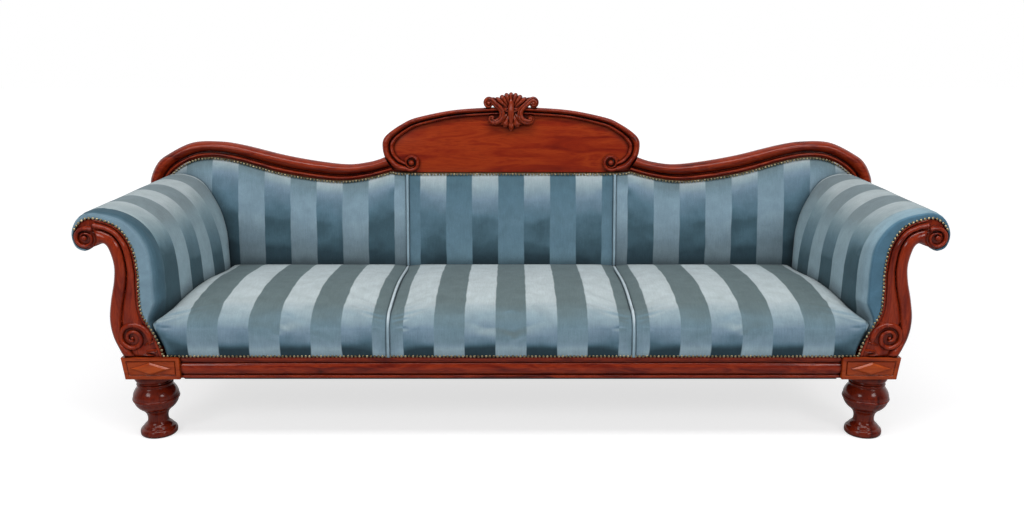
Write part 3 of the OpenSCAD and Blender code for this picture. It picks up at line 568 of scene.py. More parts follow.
def plate(bm: Mesh, outline: Sequence[Pair], near: float, far: float, ease: float) -> None:
    """Cut a board to an outline in the XZ plane and ease its front arris.

    Args:
        bm: The mesh that gets the board.
        outline: The outline's points, in order.
        near: Y of the front face.
        far: Y of the back face.
        ease: Width of the eased arris.
    """
    verts = [bm.verts.new((x, near, z)) for x, z in outline]
    face, rim = bm.faces.new(verts), set(verts)
    drawn_out(bm, [face], (0.0, far - near, 0.0))
    front = [e for e in bm.edges if rim.issuperset(e.verts)]
    bmesh.ops.bevel(bm, geom=front, offset=ease, affect="EDGES", segments=3, profile=0.5, material=-1)


def petal(bm: Mesh, root: Vector, tip: Vector, wide: float, high: float, bow: float, up: Vector) -> None:
    """Carve one leaf or lobe, slim at its root and full towards its tip.

    Args:
        bm: The mesh that gets it.
        root: Where it grows from.
        tip: Where it ends.
        wide: Half its greatest width.
        high: Its greatest height.
        bow: How far its middle bends aside.
        up: The direction that it stands out in.
    """
    ahead = tip - root
    aside = ahead.cross(up).normalized()
    path, widths, heights = [], [], []
    for k in range(9):
        t = k / 8
        path.append(root + ahead * t + aside * bow * math.sin(math.pi * t))
        fullness = max(0.12, math.sin(math.pi * min(1.0, 0.12 + t * 0.95)) ** 0.6 * (0.45 + 0.55 * t))
        widths.append(wide * fullness)
        heights.append(high * max(0.15, fullness))
    section = [(-1, -0.6), (-1, 0), (-0.82, 0.55), (-0.5, 0.85), (-0.22, 0.78), (0, 0.62), (0.22, 0.78),
               (0.5, 0.85), (0.82, 0.55), (1, 0), (1, -0.6)]
    rod(bm, path, widths, heights, up, section)


class Finish:
    """A finish that makes its material once."""

    made: dict[object, bpy.types.Material] = {}

    def material(self) -> bpy.types.Material:
        """Give the finish's material, made when it is first asked for.

        Returns:
            The material.
        """
        if self not in Finish.made:
            material = bpy.data.materials.new(self.title)
            material.use_nodes = True
            feed(material.node_tree.nodes["Principled BSDF"], self.surface(Graph(material.node_tree)))
            Finish.made[self] = material
        return Finish.made[self]

    @property
    def title(self) -> str:
        """Name of the material, with the axis of its grain if it has one."""
        grain = getattr(self, "grain", None)
        return f"{self.name}_{grain.name.lower()}" if grain else self.name

    def surface(self, graph: Graph) -> dict:
        """Lay out the finish's nodes.

        Args:
            graph: The material's nodes.

        Returns:
            What the shader's inputs get.
        """
        raise NotImplementedError


@dataclass(frozen=True)
class PolishedMahogany(Finish):
    """French-polished mahogany: a red-brown body with darker figure, fine dark pores and a clear glossy film.

    The hand-rubbed shellac gives soft highlights along each moulding. The hollows are painted nearly black,
    partly for old polish and dust and partly as painted shade where the light doesn't reach.
    """

    grain: Axis = Axis.X
    dark: str = "#3a0b05"
    body: str = "#701d0b"
    bright: str = "#8e2e11"
    figure_mm: float = 26.0
    pore_mm: float = 1.4
    # How far the painted shade in the hollows reaches.
    crevice_mm: float = 10.0
    name: str = "french_polished_mahogany"

    def surface(self, graph: Graph) -> dict:
        """Figure, pores, and dust with painted shade in the hollows, under the polish."""
        spot = graph.spot()
        figure = graph.noise(graph.stretched(spot, self.grain, 0.16, 1.0), self.figure_mm, 6.0, 0.6, 1.1)
        pores = graph.noise(graph.stretched(spot, self.grain, 0.05, 1.0), self.pore_mm, 2.0)
        body = graph.ramp(figure, (
            (0.28, self.dark), (0.42, self.body), (0.55, self.bright), (0.64, self.body), (0.78, self.bright)))
        pored = graph.mix(graph.span(pores, (0.52, 0.72), (0.0, 0.5)), body, self.dark)
        # Painted shade with dust: the colour goes to near black as a hollow gets more enclosed.
        dust_and_shade = graph.span(graph.openness(self.crevice_mm), (0.3, 0.92), (0.95, 0.0), "SMOOTHSTEP")
        return {
            "Base Color": graph.mix(dust_and_shade, pored, "#150403"), "Roughness": graph.span(figure, target=(0.18, 0.29)),
            "Normal": graph.relief(pores, 0.06, 0.3), "IOR": 1.5, "Specular IOR Level": 0.05, "Coat Weight": 0.48,
            "Coat Roughness": 0.14}


@dataclass(frozen=True)
class Velvet(Finish):
    """Cut velvet: a dry cloth whose pile gives brushed patches, fine ribs, single tufts and a pale sheen."""

    name: str = "velvet"
    count_along: Axis = Axis.X
    mottle_mm: float = 45.0
    bump: float = 0.3

    def colour(self, graph: Graph, spot: Socket, normal: Sequence[Socket]) -> Socket:
        """Lay out the cloth's dyed colour.

        Args:
            graph: The material's nodes.
            spot: The object's coordinates.
            normal: The three parts of its normal.

        Returns:
            The colour.
        """
        raise NotImplementedError

    def surface(self, graph: Graph) -> dict:
        """Shade the colour by the pile and paint shade into the hollows; a tuft is drawn coarser than the real 0.4 mm
        so that it shows.
        """
        spot = graph.spot()
        colour = self.colour(graph, spot, graph.parts(graph.spot("Normal")))
        ribs = graph.noise(graph.stretched(spot, self.count_along, 1.0, 0.08), 2.4, 2.0, 0.6)
        patch = graph.noise(spot, self.mottle_mm, 4.0, 0.6, 0.5)
        tufts = graph.noise(spot, 1.7, 2.0)
        middle = (0.3, 0.7)
        pile_and_painted_shade = graph.math("MULTIPLY", graph.span(patch, middle, (0.90, 1.08)), graph.span(ribs, middle, (0.93, 1.06)))
        pile_and_painted_shade = graph.math("MULTIPLY", pile_and_painted_shade, graph.span(tufts, middle, (0.90, 1.08)))
        # Painted shade: the cloth is darkened where it lies in a hollow, by the seat, the arms and the seams.
        pile_and_painted_shade = graph.math("MULTIPLY", pile_and_painted_shade, graph.span(graph.openness(48), (0.2, 0.9), (0.22, 1.0)))
        return {
            "Base Color": graph.mix(1.0, colour, pile_and_painted_shade, "MULTIPLY"),
            "Normal": graph.relief(graph.math("ADD", ribs, tufts), self.bump, 0.5), "Roughness": 0.85, "IOR": 1.46,
            "Specular IOR Level": 0.25, "Sheen Weight": 0.12, "Sheen Roughness": 0.4, "Sheen Tint": "#c9dbe6"}


@dataclass(frozen=True)
class StripedVelvet(Velvet):
    """Striped cotton velvet: two blue-grey stripes, with light and shade painted on by how much the cloth faces up.

    One stripe is painted silvery where it faces up, a painted sheen and top light, and slate where it stands
    upright, a painted shade; the other is painted grey where it faces up and pale blue-grey where it stands
    upright. The first stripe beside an arm's nails is a border of its own.
    """

    middle_mm: float = 0.0
    border_mm: float = 0.0
    # Painted light for the first stripe: slate where the cloth stands upright, silvery where it faces up.
    shine: Ramp = (
        (0.02, "#2a3f49"), (0.10, "#3d5763"), (0.17, "#537080"), (0.31, "#72899a"), (0.45, "#8398a2"),
        (0.60, "#93a4ab"), (0.76, "#a4b1b6"), (0.88, "#aebabd"), (1.0, "#b6c1c4"))
    # Painted light for the second stripe: pale blue-grey where the cloth stands upright, grey where it faces up.
    plain: Ramp = (
        (0.0, "#92aab6"), (0.15, "#7c94a3"), (0.33, "#67808c"), (0.55, "#607379"), (0.75, "#5f6f72"), (1.0, "#606f71"))
    # The border, painted darker from the nails towards its seam: painted shade over the roll.
    border: Ramp = ((0.0, "#7894a4"), (0.04, "#6c8999"), (0.1, "#577585"), (0.22, "#486675"), (1.0, "#45626f"))
    # Painted light on the border where it faces up: below 1 shades it, above 1 lights it.
    border_top_light: float = 0.74

    def colour(self, graph: Graph, spot: Socket, normal: Sequence[Socket]) -> Socket:
        """Paint light and shade into each stripe's colour by how much the cloth faces up."""
        place = graph.parts(spot)
        drift = graph.span(graph.noise(spot, 60, 1.0), target=[(d - self.middle_mm) * MM for d in (-2.5, 2.5)])
        phase = graph.math(
            "MULTIPLY", graph.math("ADD", place[self.count_along.value], drift), 2 * math.pi / (PLAN.stripe * MM))
        striped = graph.span(graph.math("COSINE", phase), (-0.05, 0.05))
        # Painted light and shade: each stripe's colour follows how much the cloth faces up, shifted by a per-point
        # layer.
        turned = graph.math("ADD", normal["Z"], graph.attribute("painted_light_turn"))
        facing_for_light = graph.math("ADD", turned, graph.span(graph.noise(spot, 70, 3.0), target=(-0.07, 0.07)))
        # Painted shade on the second stripe, from a per-point layer that darkens the foot of the outer back panels.
        shaded = graph.math("SUBTRACT", 1.0, graph.attribute("painted_low_shade"))
        plain = graph.mix(1.0, graph.ramp(facing_for_light, self.plain), shaded, "MULTIPLY")
        stripes = graph.mix(striped, graph.ramp(facing_for_light, self.shine), plain)
        if not self.border_mm:
            return stripes
        seam = (PLAN.face_y + self.border_mm) * MM
        # Painted shade on the border: darker from the nails towards its seam, and darker or lighter where it faces up.
        edge = graph.ramp(graph.span(place["Y"], (PLAN.face_y * MM, seam)), self.border)
        edge = graph.mix(1.0, edge, graph.span(normal["Z"], (0.15, 0.6), (1.0, self.border_top_light)), "MULTIPLY")
        return graph.mix(graph.math("LESS_THAN", place["Y"], seam), stripes, edge)


@dataclass(frozen=True)
class PlainVelvet(Velvet):
    """Plain velvet for piping: painted light where it faces up and painted shade at its side."""

    name: str = "piping_velvet"
    mottle_mm: float = 40.0
    bump: float = 0.35
    # Painted light where the piping faces up.
    top: str = "#b9c6cc"
    # Painted shade at the piping's side.
    side: str = "#8ba3b0"

    def colour(self, graph: Graph, spot: Socket, normal: Sequence[Socket]) -> Socket:
        """Mix the two colours by how much the cloth faces up: painted light on top, painted shade at the side."""
        return graph.mix(graph.span(normal["Z"], (0.1, 0.9), kind="SMOOTHSTEP"), self.side, self.top)


@dataclass(frozen=True)
class AntiqueBrass(Finish):
    """Antique brass nail heads: a dark olive metal, paler on the open domes and browner where they meet the cloth."""

    name: str = "antique_brass"
    worn: str = "#dccaa2"
    brown: str = "#4a3c24"

    def surface(self, graph: Graph) -> dict:
        """Stains, and a browner colour where a head lies enclosed."""
        stain = graph.noise(graph.spot(), 6, 3.0)
        openness_and_stain = graph.math("MULTIPLY", stain, graph.openness(4, 4))
        return {"Base Color": graph.mix(graph.span(openness_and_stain, (0.3, 0.75)), self.brown, self.worn),
                "Roughness": graph.span(stain, target=(0.22, 0.4)), "Metallic": 1.0}


@dataclass(frozen=True)
class PlainWood(Finish):
    """Sawn and planed beech: a pale straw wood with short dark flecks, dry and unpolished."""

    grain: Axis
    name: str = "sawn_beech"
    light: str = "#cfae7f"
    fleck: str = "#9c7a4e"

    def surface(self, graph: Graph) -> dict:
        """Flecks along the grain."""
        grain = graph.noise(graph.stretched(graph.spot(), self.grain, 0.1, 1.0), 3, 4.0, 0.6)
        return {"Base Color": graph.mix(graph.span(grain, (0.45, 0.7)), self.light, self.fleck),
                "Normal": graph.relief(grain, 0.2, 0.3), "Roughness": 0.6}


@dataclass(frozen=True)
class WovenCloth(Finish):
    """Plain-woven cloth: threads over and under each other, drawn at their real pitch for jute webbing."""

    name: str = "jute_webbing"
    thread_mm: float = 2.2
    light: str = "#b39a6d"
    shade: str = "#6d5a38"
    roughness: float = 0.9

    def surface(self, graph: Graph) -> dict:
        """Threads that run all three ways."""
        ways = {"Vector": graph.spot(), "Scale": 0.314 / (self.thread_mm * MM), "Distortion": 0.6, "Detail Scale": 4.0}
        x, y, z = (add_node(graph.tree, "TexWave", ways, bands_direction=way).outputs["Fac"] for way in "XYZ")
        weave = graph.math("MAXIMUM", graph.math("MULTIPLY", x, y), z)
        return {"Base Color": graph.mix(weave, self.shade, self.light), "Normal": graph.relief(weave, 0.4, 0.5),
                "Roughness": self.roughness}


@dataclass(frozen=True)
class DrawnWire(Finish):
    """Drawn steel spring wire: a grey metal with a dull lacquer and a few brown spots."""

    name: str = "drawn_steel_wire"
    bright: str = "#9a9da2"
    stained: str = "#6a4a34"

    def surface(self, graph: Graph) -> dict:
        """Brown spots in the lacquer."""
        spots = graph.span(graph.noise(graph.spot(), 12, 4.0), (0.58, 0.68))
        return {"Base Color": graph.mix(spots, self.bright, self.stained), "Metallic": 1.0, "Roughness": 0.38}


def make_piece(name: str, bm: Mesh, finish: Finish, placement: Matrix = Matrix.Identity(4), *,
               stands_for: Sequence[str] = (), sharp: float = 38.0,
               side: Side | None = None) -> bpy.types.Object:
    """Finish a mesh as a piece that rides on the sofa.

    Args:
        name: The piece's name, without its side.
        bm: Its mesh in millimetres, which is freed.
        finish: What it is made of.
        placement: Where the mesh goes, in millimetres.
        stands_for: CAD nodes that the piece replaces, without their side.
        sharp: Angle in degrees past which an edge stays sharp.
        side: The end of the sofa that it belongs to; its mesh is drawn for the left one.

    Returns:
        The piece.
    """
    bmesh.ops.remove_doubles(bm, verts=bm.verts[:], dist=0.005)
    if side:
        name, stands_for = f"{side.value}_{name}", [f"{side.value}_{node}" for node in stands_for]
    flip = Matrix.Scale(-1, 4, (1, 0, 0)) if side is Side.RIGHT else Matrix.Identity(4)
    bmesh.ops.transform(bm, matrix=Matrix.Scale(MM, 4) @ flip @ placement, verts=bm.verts[:])
    bmesh.ops.recalc_face_normals(bm, faces=bm.faces[:])
    mesh = bpy.data.meshes.new(name)
    bm.to_mesh(mesh)
    bm.free()
    mesh.shade_smooth()
    mesh.set_sharp_from_angle(angle=math.radians(sharp))
    mesh.materials.append(finish.material())
    piece = bpy.data.objects.new(name, mesh)
    bpy.context.scene.collection.objects.link(piece)
    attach(piece, "root")
    if stands_for:
        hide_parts(*stands_for)
    log.info("%s: %d faces", name, len(mesh.polygons))
    return piece


def stuffed(piece: bpy.types.Object) -> bpy.types.Object:
    """Round off a stuffed piece by one subdivision."""
    rounding = piece.modifiers.new("rounding", "SUBSURF")
    rounding.levels = rounding.render_levels = 1
    return piece


@dataclass(frozen=True)
class Scroll:
    """Outline of an arm's scroll, which the facing, the stuffing and the covers follow."""

    edge_shares: tuple[Pair, ...] = (
        (1, 0), (0.972, 0.071), (0.912, 0.156), (0.824, 0.247), (0.759, 0.343), (0.755, 0.491),
        (0.764, 0.625), (0.722, 0.798), (0.565, 0.94), (0.282, 1), (0.111, 0.977), (0, 0.887),
        (0.037, 0.811), (0.144, 0.786), (0.259, 0.804), (0.38, 0.824), (0.435, 0.783), (0.477, 0.675),
        (0.458, 0.562), (0.394, 0.418), (0.356, 0.28), (0.384, 0.146), (0.449, 0.063), (0.491, 0))
    front_shares: tuple[Pair, ...] = (
        (0.17, 0), (0.44, 0), (0.81, 0.04), (1.06, 0.04), (1.06, 0), (1.02, 0.04), (1, 0.19),
        (0.60, 0.35), (0.08, 0.375), (-0.15, 0.31), (-0.09, 0.15), (-0.1, -0.1), (0, -0.16))
    back_shares: tuple[Pair, ...] = (
        (0.52, 0), (0.65, 0), (0.85, 0.02), (1, 0.02), (0.98, 0), (0.89, 0.02), (0.73, 0.09),
        (0.54, 0.32), (0.48, 0.33), (0.22, 0.28), (-0.03, 0.20), (-0.05, -0.05), (0, -0.07))
    nailed_last: int = 13
    front_t: float = 48.0
    back_t: float = 95.0

    def spot(self, share: Sequence[float]) -> Vector:
        """Place in the XZ plane of a share of the scroll's width and height."""
        return Vector((PLAN.scroll_x + share[0] * PLAN.scroll_w, PLAN.rail_top + share[1] * PLAN.scroll_h))

    def outline(self, steps: int = 6) -> list[Vector]:
        """The scroll's outline, from the foot of its nailed edge round to its heel."""
        return [self.spot(p) for p in Track(self.edge_shares).sampled(steps * (len(self.edge_shares) - 1) + 1)]

    def nailed(self, share: float) -> Vector:
        """Point of the nailed edge, from just above the block at 0 to the volute's end at 1."""
        first, last = 1, self.nailed_last
        return self.spot(Track(self.edge_shares).at((first + share * (last - first)) / (len(self.edge_shares) - 1)))

    def stuffing(self, share: float, depth: float) -> Vector:
        """How far the stuffing stands beyond the nailed edge, for a share along it and of the arm's depth."""
        front = Track(self.front_shares).at(share) * self.front_t
        back = Track(self.back_shares).at(share) * self.back_t
        return front * (1 - depth) + back * depth

    def low(self, share: float) -> float:
        """How far a place of the nailed edge lies behind the seat's front corner, from 1 to 0."""
        return min(max((10 - share * 36) / 4, 0.0), 1.0)

    def near(self, depth: float) -> float:
        """How near a share of the arm's depth lies to the seat's front corner, from 1 to 0."""
        return max(0.0, 1 - max(depth, 0.0) / 0.13)


SCROLL = Scroll()


@dataclass(frozen=True)
class NailLine:
    """The wavy lower edge of the top rails and the crest, along the leaning back."""

    outer_shares: tuple[Pair, ...] = (
        (0, -0.19), (0.0013, 0.06), (0.0285, 0.414), (0.0725, 0.648), (0.181, 0.961), (0.295, 1),
        (0.401, 0.906), (0.577, 0.648), (0.732, 0.484), (0.854, 0.414), (0.95, 0.484), (1.0085, 0.594))
    nailed_shares: tuple[Pair, ...] = (
        (0.070, -0.125), (0.0763, 0.0625), (0.105, 0.25), (0.149, 0.4375), (0.207, 0.57), (0.2846, 0.60),
        (0.388, 0.49), (0.556, 0.21), (0.718, 0.047), (0.828, 0), (0.931, 0.07), (1.045, 0.24))

    def edge(self, shares: Sequence[Pair]) -> Track:
        """One edge of the left top rail."""
        width, rise = PLAN.half_w - PLAN.crest_w / 2, PLAN.rail_rise / PLAN.upright
        return through([(s * width - PLAN.half_w, PLAN.up_back(PLAN.nail_low) + t * rise) for s, t in shares])

    def half(self) -> list[Vector]:
        """The nail line from an end of the sofa to its middle."""
        foot = PLAN.up_back(PLAN.crest_foot) - 2
        return self.edge(self.nailed_shares).sampled(60) + [Vector((-0.41 * PLAN.crest_w, foot)), Vector((0, foot))]

    def height(self, x: float) -> float:
        """Distance along the back of the nail line at a place across the sofa."""
        return between(-abs(x), self.half())


NAIL_LINE = NailLine()


def both(*nodes: str) -> list[str]:
    """Names of the left and the right one of some nodes."""
    return [f"{side.value}_{node}" for node in nodes for side in Side]


@dataclass
class CarriedTimber:
    """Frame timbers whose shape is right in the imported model, with their arrises eased."""

    ease: float = 1.5

    def eased(self, node: str, finish: Finish, slot: str) -> bpy.types.Object:
        """Copy a CAD node's mesh, merge it and ease its arrises.

        Args:
            node: The node's name.
            finish: What it is made of.
            slot: Not used.

        Returns:
            The piece that replaces the node.
        """
        bm = bmesh.new()
        bm.from_mesh(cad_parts[node].data)
        bmesh.ops.remove_doubles(bm, verts=bm.verts[:], dist=1e-5)
        bmesh.ops.dissolve_limit(bm, angle_limit=math.radians(1.0), verts=bm.verts[:], edges=bm.edges[:])
        bmesh.ops.transform(bm, matrix=Matrix.Scale(1 / MM, 4), verts=bm.verts[:])
        arrises = [e for e in bm.edges if len(e.link_faces) == 2 and e.calc_face_angle(0.0) > math.radians(40)]
        bmesh.ops.bevel(bm, geom=arrises, offset=self.ease, affect="EDGES", segments=2, profile=0.5, material=-1,
                        clamp_overlap=True)
        return make_piece(f"eased_{node}", bm, finish, stands_for=(node,))

    def build(self) -> None:
        """Ease the visible timbers and give the hidden ones their finish."""
        for node in both("rear_leg"):
            self.eased(node, PolishedMahogany(Axis.Z), "mahogany")
        beech = {
            Axis.X: ("rear_seat_rail", "back_bottom_rail", "back_top_frame", "frame_dowels", "corner_blocks"),
            Axis.Y: ("seat_cross_rails", *both("side_rail", "arm_roll_rail", "arm_bottom_rail")),
            Axis.Z: ("back_uprights", *both("arm_front_board", "arm_rear_board")),
        }
        for grain, nodes in beech.items():
            for node in nodes:
                self.dress(node, PlainWood(grain))
        for node in ("seat_webbing", "back_webbing", *both("arm_webbing")):
            self.dress(node, WovenCloth())
        self.dress("spring_canvas", WovenCloth("hessian_canvas", 1.6, "#a8926a", "#5f4f33"))
        self.dress("seat_springs", DrawnWire())

    def dress(self, node: str, finish: Finish) -> None:
        """Give a CAD node that stays its finish."""
        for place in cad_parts[node].material_slots:
            place.link = "OBJECT"
            place.material = finish.material()


@dataclass
class FrontRail:
    """The moulded front seat rail: fillet, groove, torus, groove and fillet."""

    fillet_mm: tuple[Pair, ...] = (
        (3, 0), (0.8, 1.2), (0.4, 3), (0.4, 11), (1, 12.6), (5, 13.4), (6.5, 15.5), (6, 18.5))
    torus_rise: float = 9.6
    torus_span: Pair = (19.5, 54.0)
    foot_mm: tuple[Pair, ...] = ((7.4, 55), (6.4, 56.6), (2.4, 57.4), (1.4, 58.8), (1.4, 63.4), (3, 65))

    def profile(self) -> list[Pair]:
        """Section of the rail: depth and height, from its top front down and round its back."""
        start, end = self.torus_span
        turns = [math.pi * k / 18 for k in range(19)]
        torus = [(8 - self.torus_rise * math.sin(a), start + (end - start) * (1 - math.cos(a)) / 2) for a in turns]
        rear = [(PLAN.rail_t, PLAN.rail_top - PLAN.rail_low), (PLAN.rail_t, 0)]
        return [(PLAN.face_y + y, PLAN.rail_top - drop) for y, drop in (*self.fillet_mm, *torus, *self.foot_mm, *rear)]

    def build(self) -> None:
        """Run the section between the leg blocks."""
        bm = bmesh.new()
        inner = PLAN.block_inner_x
        places = [Matrix(((0, 0, 1, x), (1, 0, 0, 0), (0, 1, 0, 0), (0, 0, 0, 1))) for x in (inner, -inner)]
        sweep(bm, self.profile(), places)
        make_piece("moulded_front_rail", bm, PolishedMahogany(Axis.X), stands_for=("front_seat_rail",), sharp=50)


def stepped(bm: Mesh, face: bmesh.types.BMFace, steps: Sequence[Pair]) -> None:
    """Cut steps round a face, each with its width and its rise."""
    for width, rise in steps:
        bmesh.ops.inset_region(bm, faces=[face], thickness=width, depth=rise, use_even_offset=True)


@dataclass
class LegBlock:
    """A block over a front foot, with a sunk line round its face and a raised lozenge."""

    side: Side
    margin: float = 11.5
    depth: float = 3.2
    lozenge: Pair = (57.0, 18.5)
    lozenge_rise: float = 5.5

    def build(self) -> None:
        """Cut the block, sink the line and lay on the lozenge."""
        x0, x1 = PLAN.block_outer_x, PLAN.block_inner_x
        low, top, cant = PLAN.rail_low, PLAN.rail_top, PLAN.block_cant
        front = PLAN.front_y
        bm = bmesh.new()
        verts = [bm.verts.new((x, front, z)) for x, z in ((x0, top), (x1, top), (x1, low), (x0 + cant, low))]
        face = bm.faces.new(verts)
        drawn_out(bm, [face], (0, PLAN.block_d, 0))
        bmesh.ops.recalc_face_normals(bm, faces=bm.faces[:])
        stepped(bm, face, ((self.margin - 1.5, 0.0), (1.6, -self.depth), (1.2, 0.0), (1.6, self.depth - 0.8)))
        rims = [e for e in bm.edges if len(e.link_faces) == 2 and e.calc_face_angle(0.0) > math.radians(60)]
        bmesh.ops.bevel(bm, geom=rims, offset=1.0, affect="EDGES", segments=2, profile=0.5, material=-1)
        make_piece("panelled_leg_block", bm,
                   PolishedMahogany(Axis.X, body="#8a300c", bright="#a03f12", dark="#641d08", figure_mm=30),
                   stands_for=("leg_block",), sharp=30, side=self.side)
        self.lay_lozenge((x0 + cant / 2 + x1) / 2 - 2, (low + top) / 2)

    def lay_lozenge(self, x: float, z: float) -> None:
        """Lay the lozenge on the block's face.

        Args:
            x: Its middle across the sofa.
            z: Its middle above the floor.
        """
        half_w, half_h = self.lozenge
        front = PLAN.front_y + 0.5
        bm = bmesh.new()
        corners = [(x - half_w, z), (x, z + half_h), (x + half_w, z), (x, z - half_h)]
        face = bm.faces.new([bm.verts.new((a, front, b)) for a, b in corners])
        face.normal_update()
        if face.normal.y > 0:
            face.normal_flip()
        crown = next(g for g in drawn_out(bm, [face], (0, -1.2, 0)) if isinstance(g, bmesh.types.BMFace))
        stepped(bm, crown, ((4.2, self.lozenge_rise - 1.2), (1.0, 0.3)))
        make_piece("block_lozenge", bm,
                   PolishedMahogany(Axis.X, body="#98390f", bright="#aa4816", dark="#7e2c0c", figure_mm=36),
                   stands_for=("leg_block",), sharp=12, side=self.side)


@dataclass
class TurnedFoot:
    """A turned front foot: a disc on the floor, a waist, a full bulb with a bead, and a collar."""

    side: Side
    profile_mm: tuple[Pair, ...] = (
        (0, 0), (44, 0), (49, 1.0), (51.6, 3.6), (52.4, 8), (52.2, 13), (50.8, 17.4), (48, 20.4), (44.6, 22),
        (43.2, 23.2), (42.4, 25.4), (41.6, 28), (38.6, 31), (34.2, 34.6), (31, 39), (29.2, 45), (28.8, 51), (29.2, 57),
        (30.6, 63), (33.4, 69), (36.2, 73), (37.8, 74.4), (38.6, 76.4), (38.4, 78.4), (41.4, 79.4), (47.4, 82.8),
        (53, 88), (57.6, 94), (61, 100.6), (63, 106.6), (63.4, 108.4), (64.6, 109), (65.8, 110.6), (66.4, 113.2),
        (65.8, 115.8), (64.6, 117.4), (63.6, 118), (64.0, 122), (63.0, 128), (60.6, 134.6), (57, 141), (52.8, 147),
        (49.4, 151), (48.0, 153.6), (48.8, 154.9), (50.8, 155.8), (51.5, 158), (50.8, 160.2), (48.8, 161.2),
        (48.0, 162), (48.6, 163), (50.4, 164.2), (50, 166), (49.4, 167.4), (50.6, 168.6), (53.4, 170.8), (55.4, 174.6),
        (56, 180), (55.4, 186), (53, 191), (50, 194.6), (0, 196))

    def build(self) -> None:
        """Turn the foot."""
        bm = bmesh.new()
        lathe(bm, self.profile_mm, Vector((PLAN.foot_x, PLAN.foot_y, 0)), Vector((0, 0, 1)), 64)
        make_piece("turned_foot", bm, PolishedMahogany(Axis.Z, body="#5a160a", bright="#70210d", figure_mm=34),
                   stands_for=("front_foot",), sharp=60, side=self.side)


@dataclass(frozen=True)
class Volute:
    """A coil on an arm's facing, with a raised button at its eye; turns are angles in degrees and radii."""

    eye: Pair
    disc: tuple[Pair, ...]
    button: tuple[Pair, ...]
    button_facets: int
    turns: tuple[Pair, ...]
    half_widths: Pair
    heights: Pair = (9.0, 12.5)
    section: tuple[Pair, ...] = (
        (-1, -0.5), (-1, 0.1), (-0.9, 0.5), (-0.62, 0.85), (-0.25, 1), (0.2, 1), (0.6, 0.86), (0.88, 0.52), (1, 0.1),
        (1, -0.5))

    def carve(self, bm: Mesh) -> None:
        """Turn the disc and the button, and wind the coil out of the eye.

        Args:
            bm: The mesh that gets them.
        """
        eye = SCROLL.spot(self.eye)
        for profile, facets in ((self.disc, 56), (self.button, self.button_facets)):
            lathe(bm, profile, stood(eye, PLAN.face_y), OUT, facets)
        count = 26 * len(self.turns)
        shares = [k / (count - 1) for k in range(count)]
        tapers = [1 - 0.75 * bump_out(0.93, 1.0, t) for t in shares]
        wide, high = ([(a + (b - a) * t) * taper for t, taper in zip(shares, tapers)]
                      for a, b in (self.half_widths, self.heights))
        rod(bm, wound(eye, Track(self.turns).sampled(count), PLAN.face_y - 0.8), wide, high, OUT, self.section)


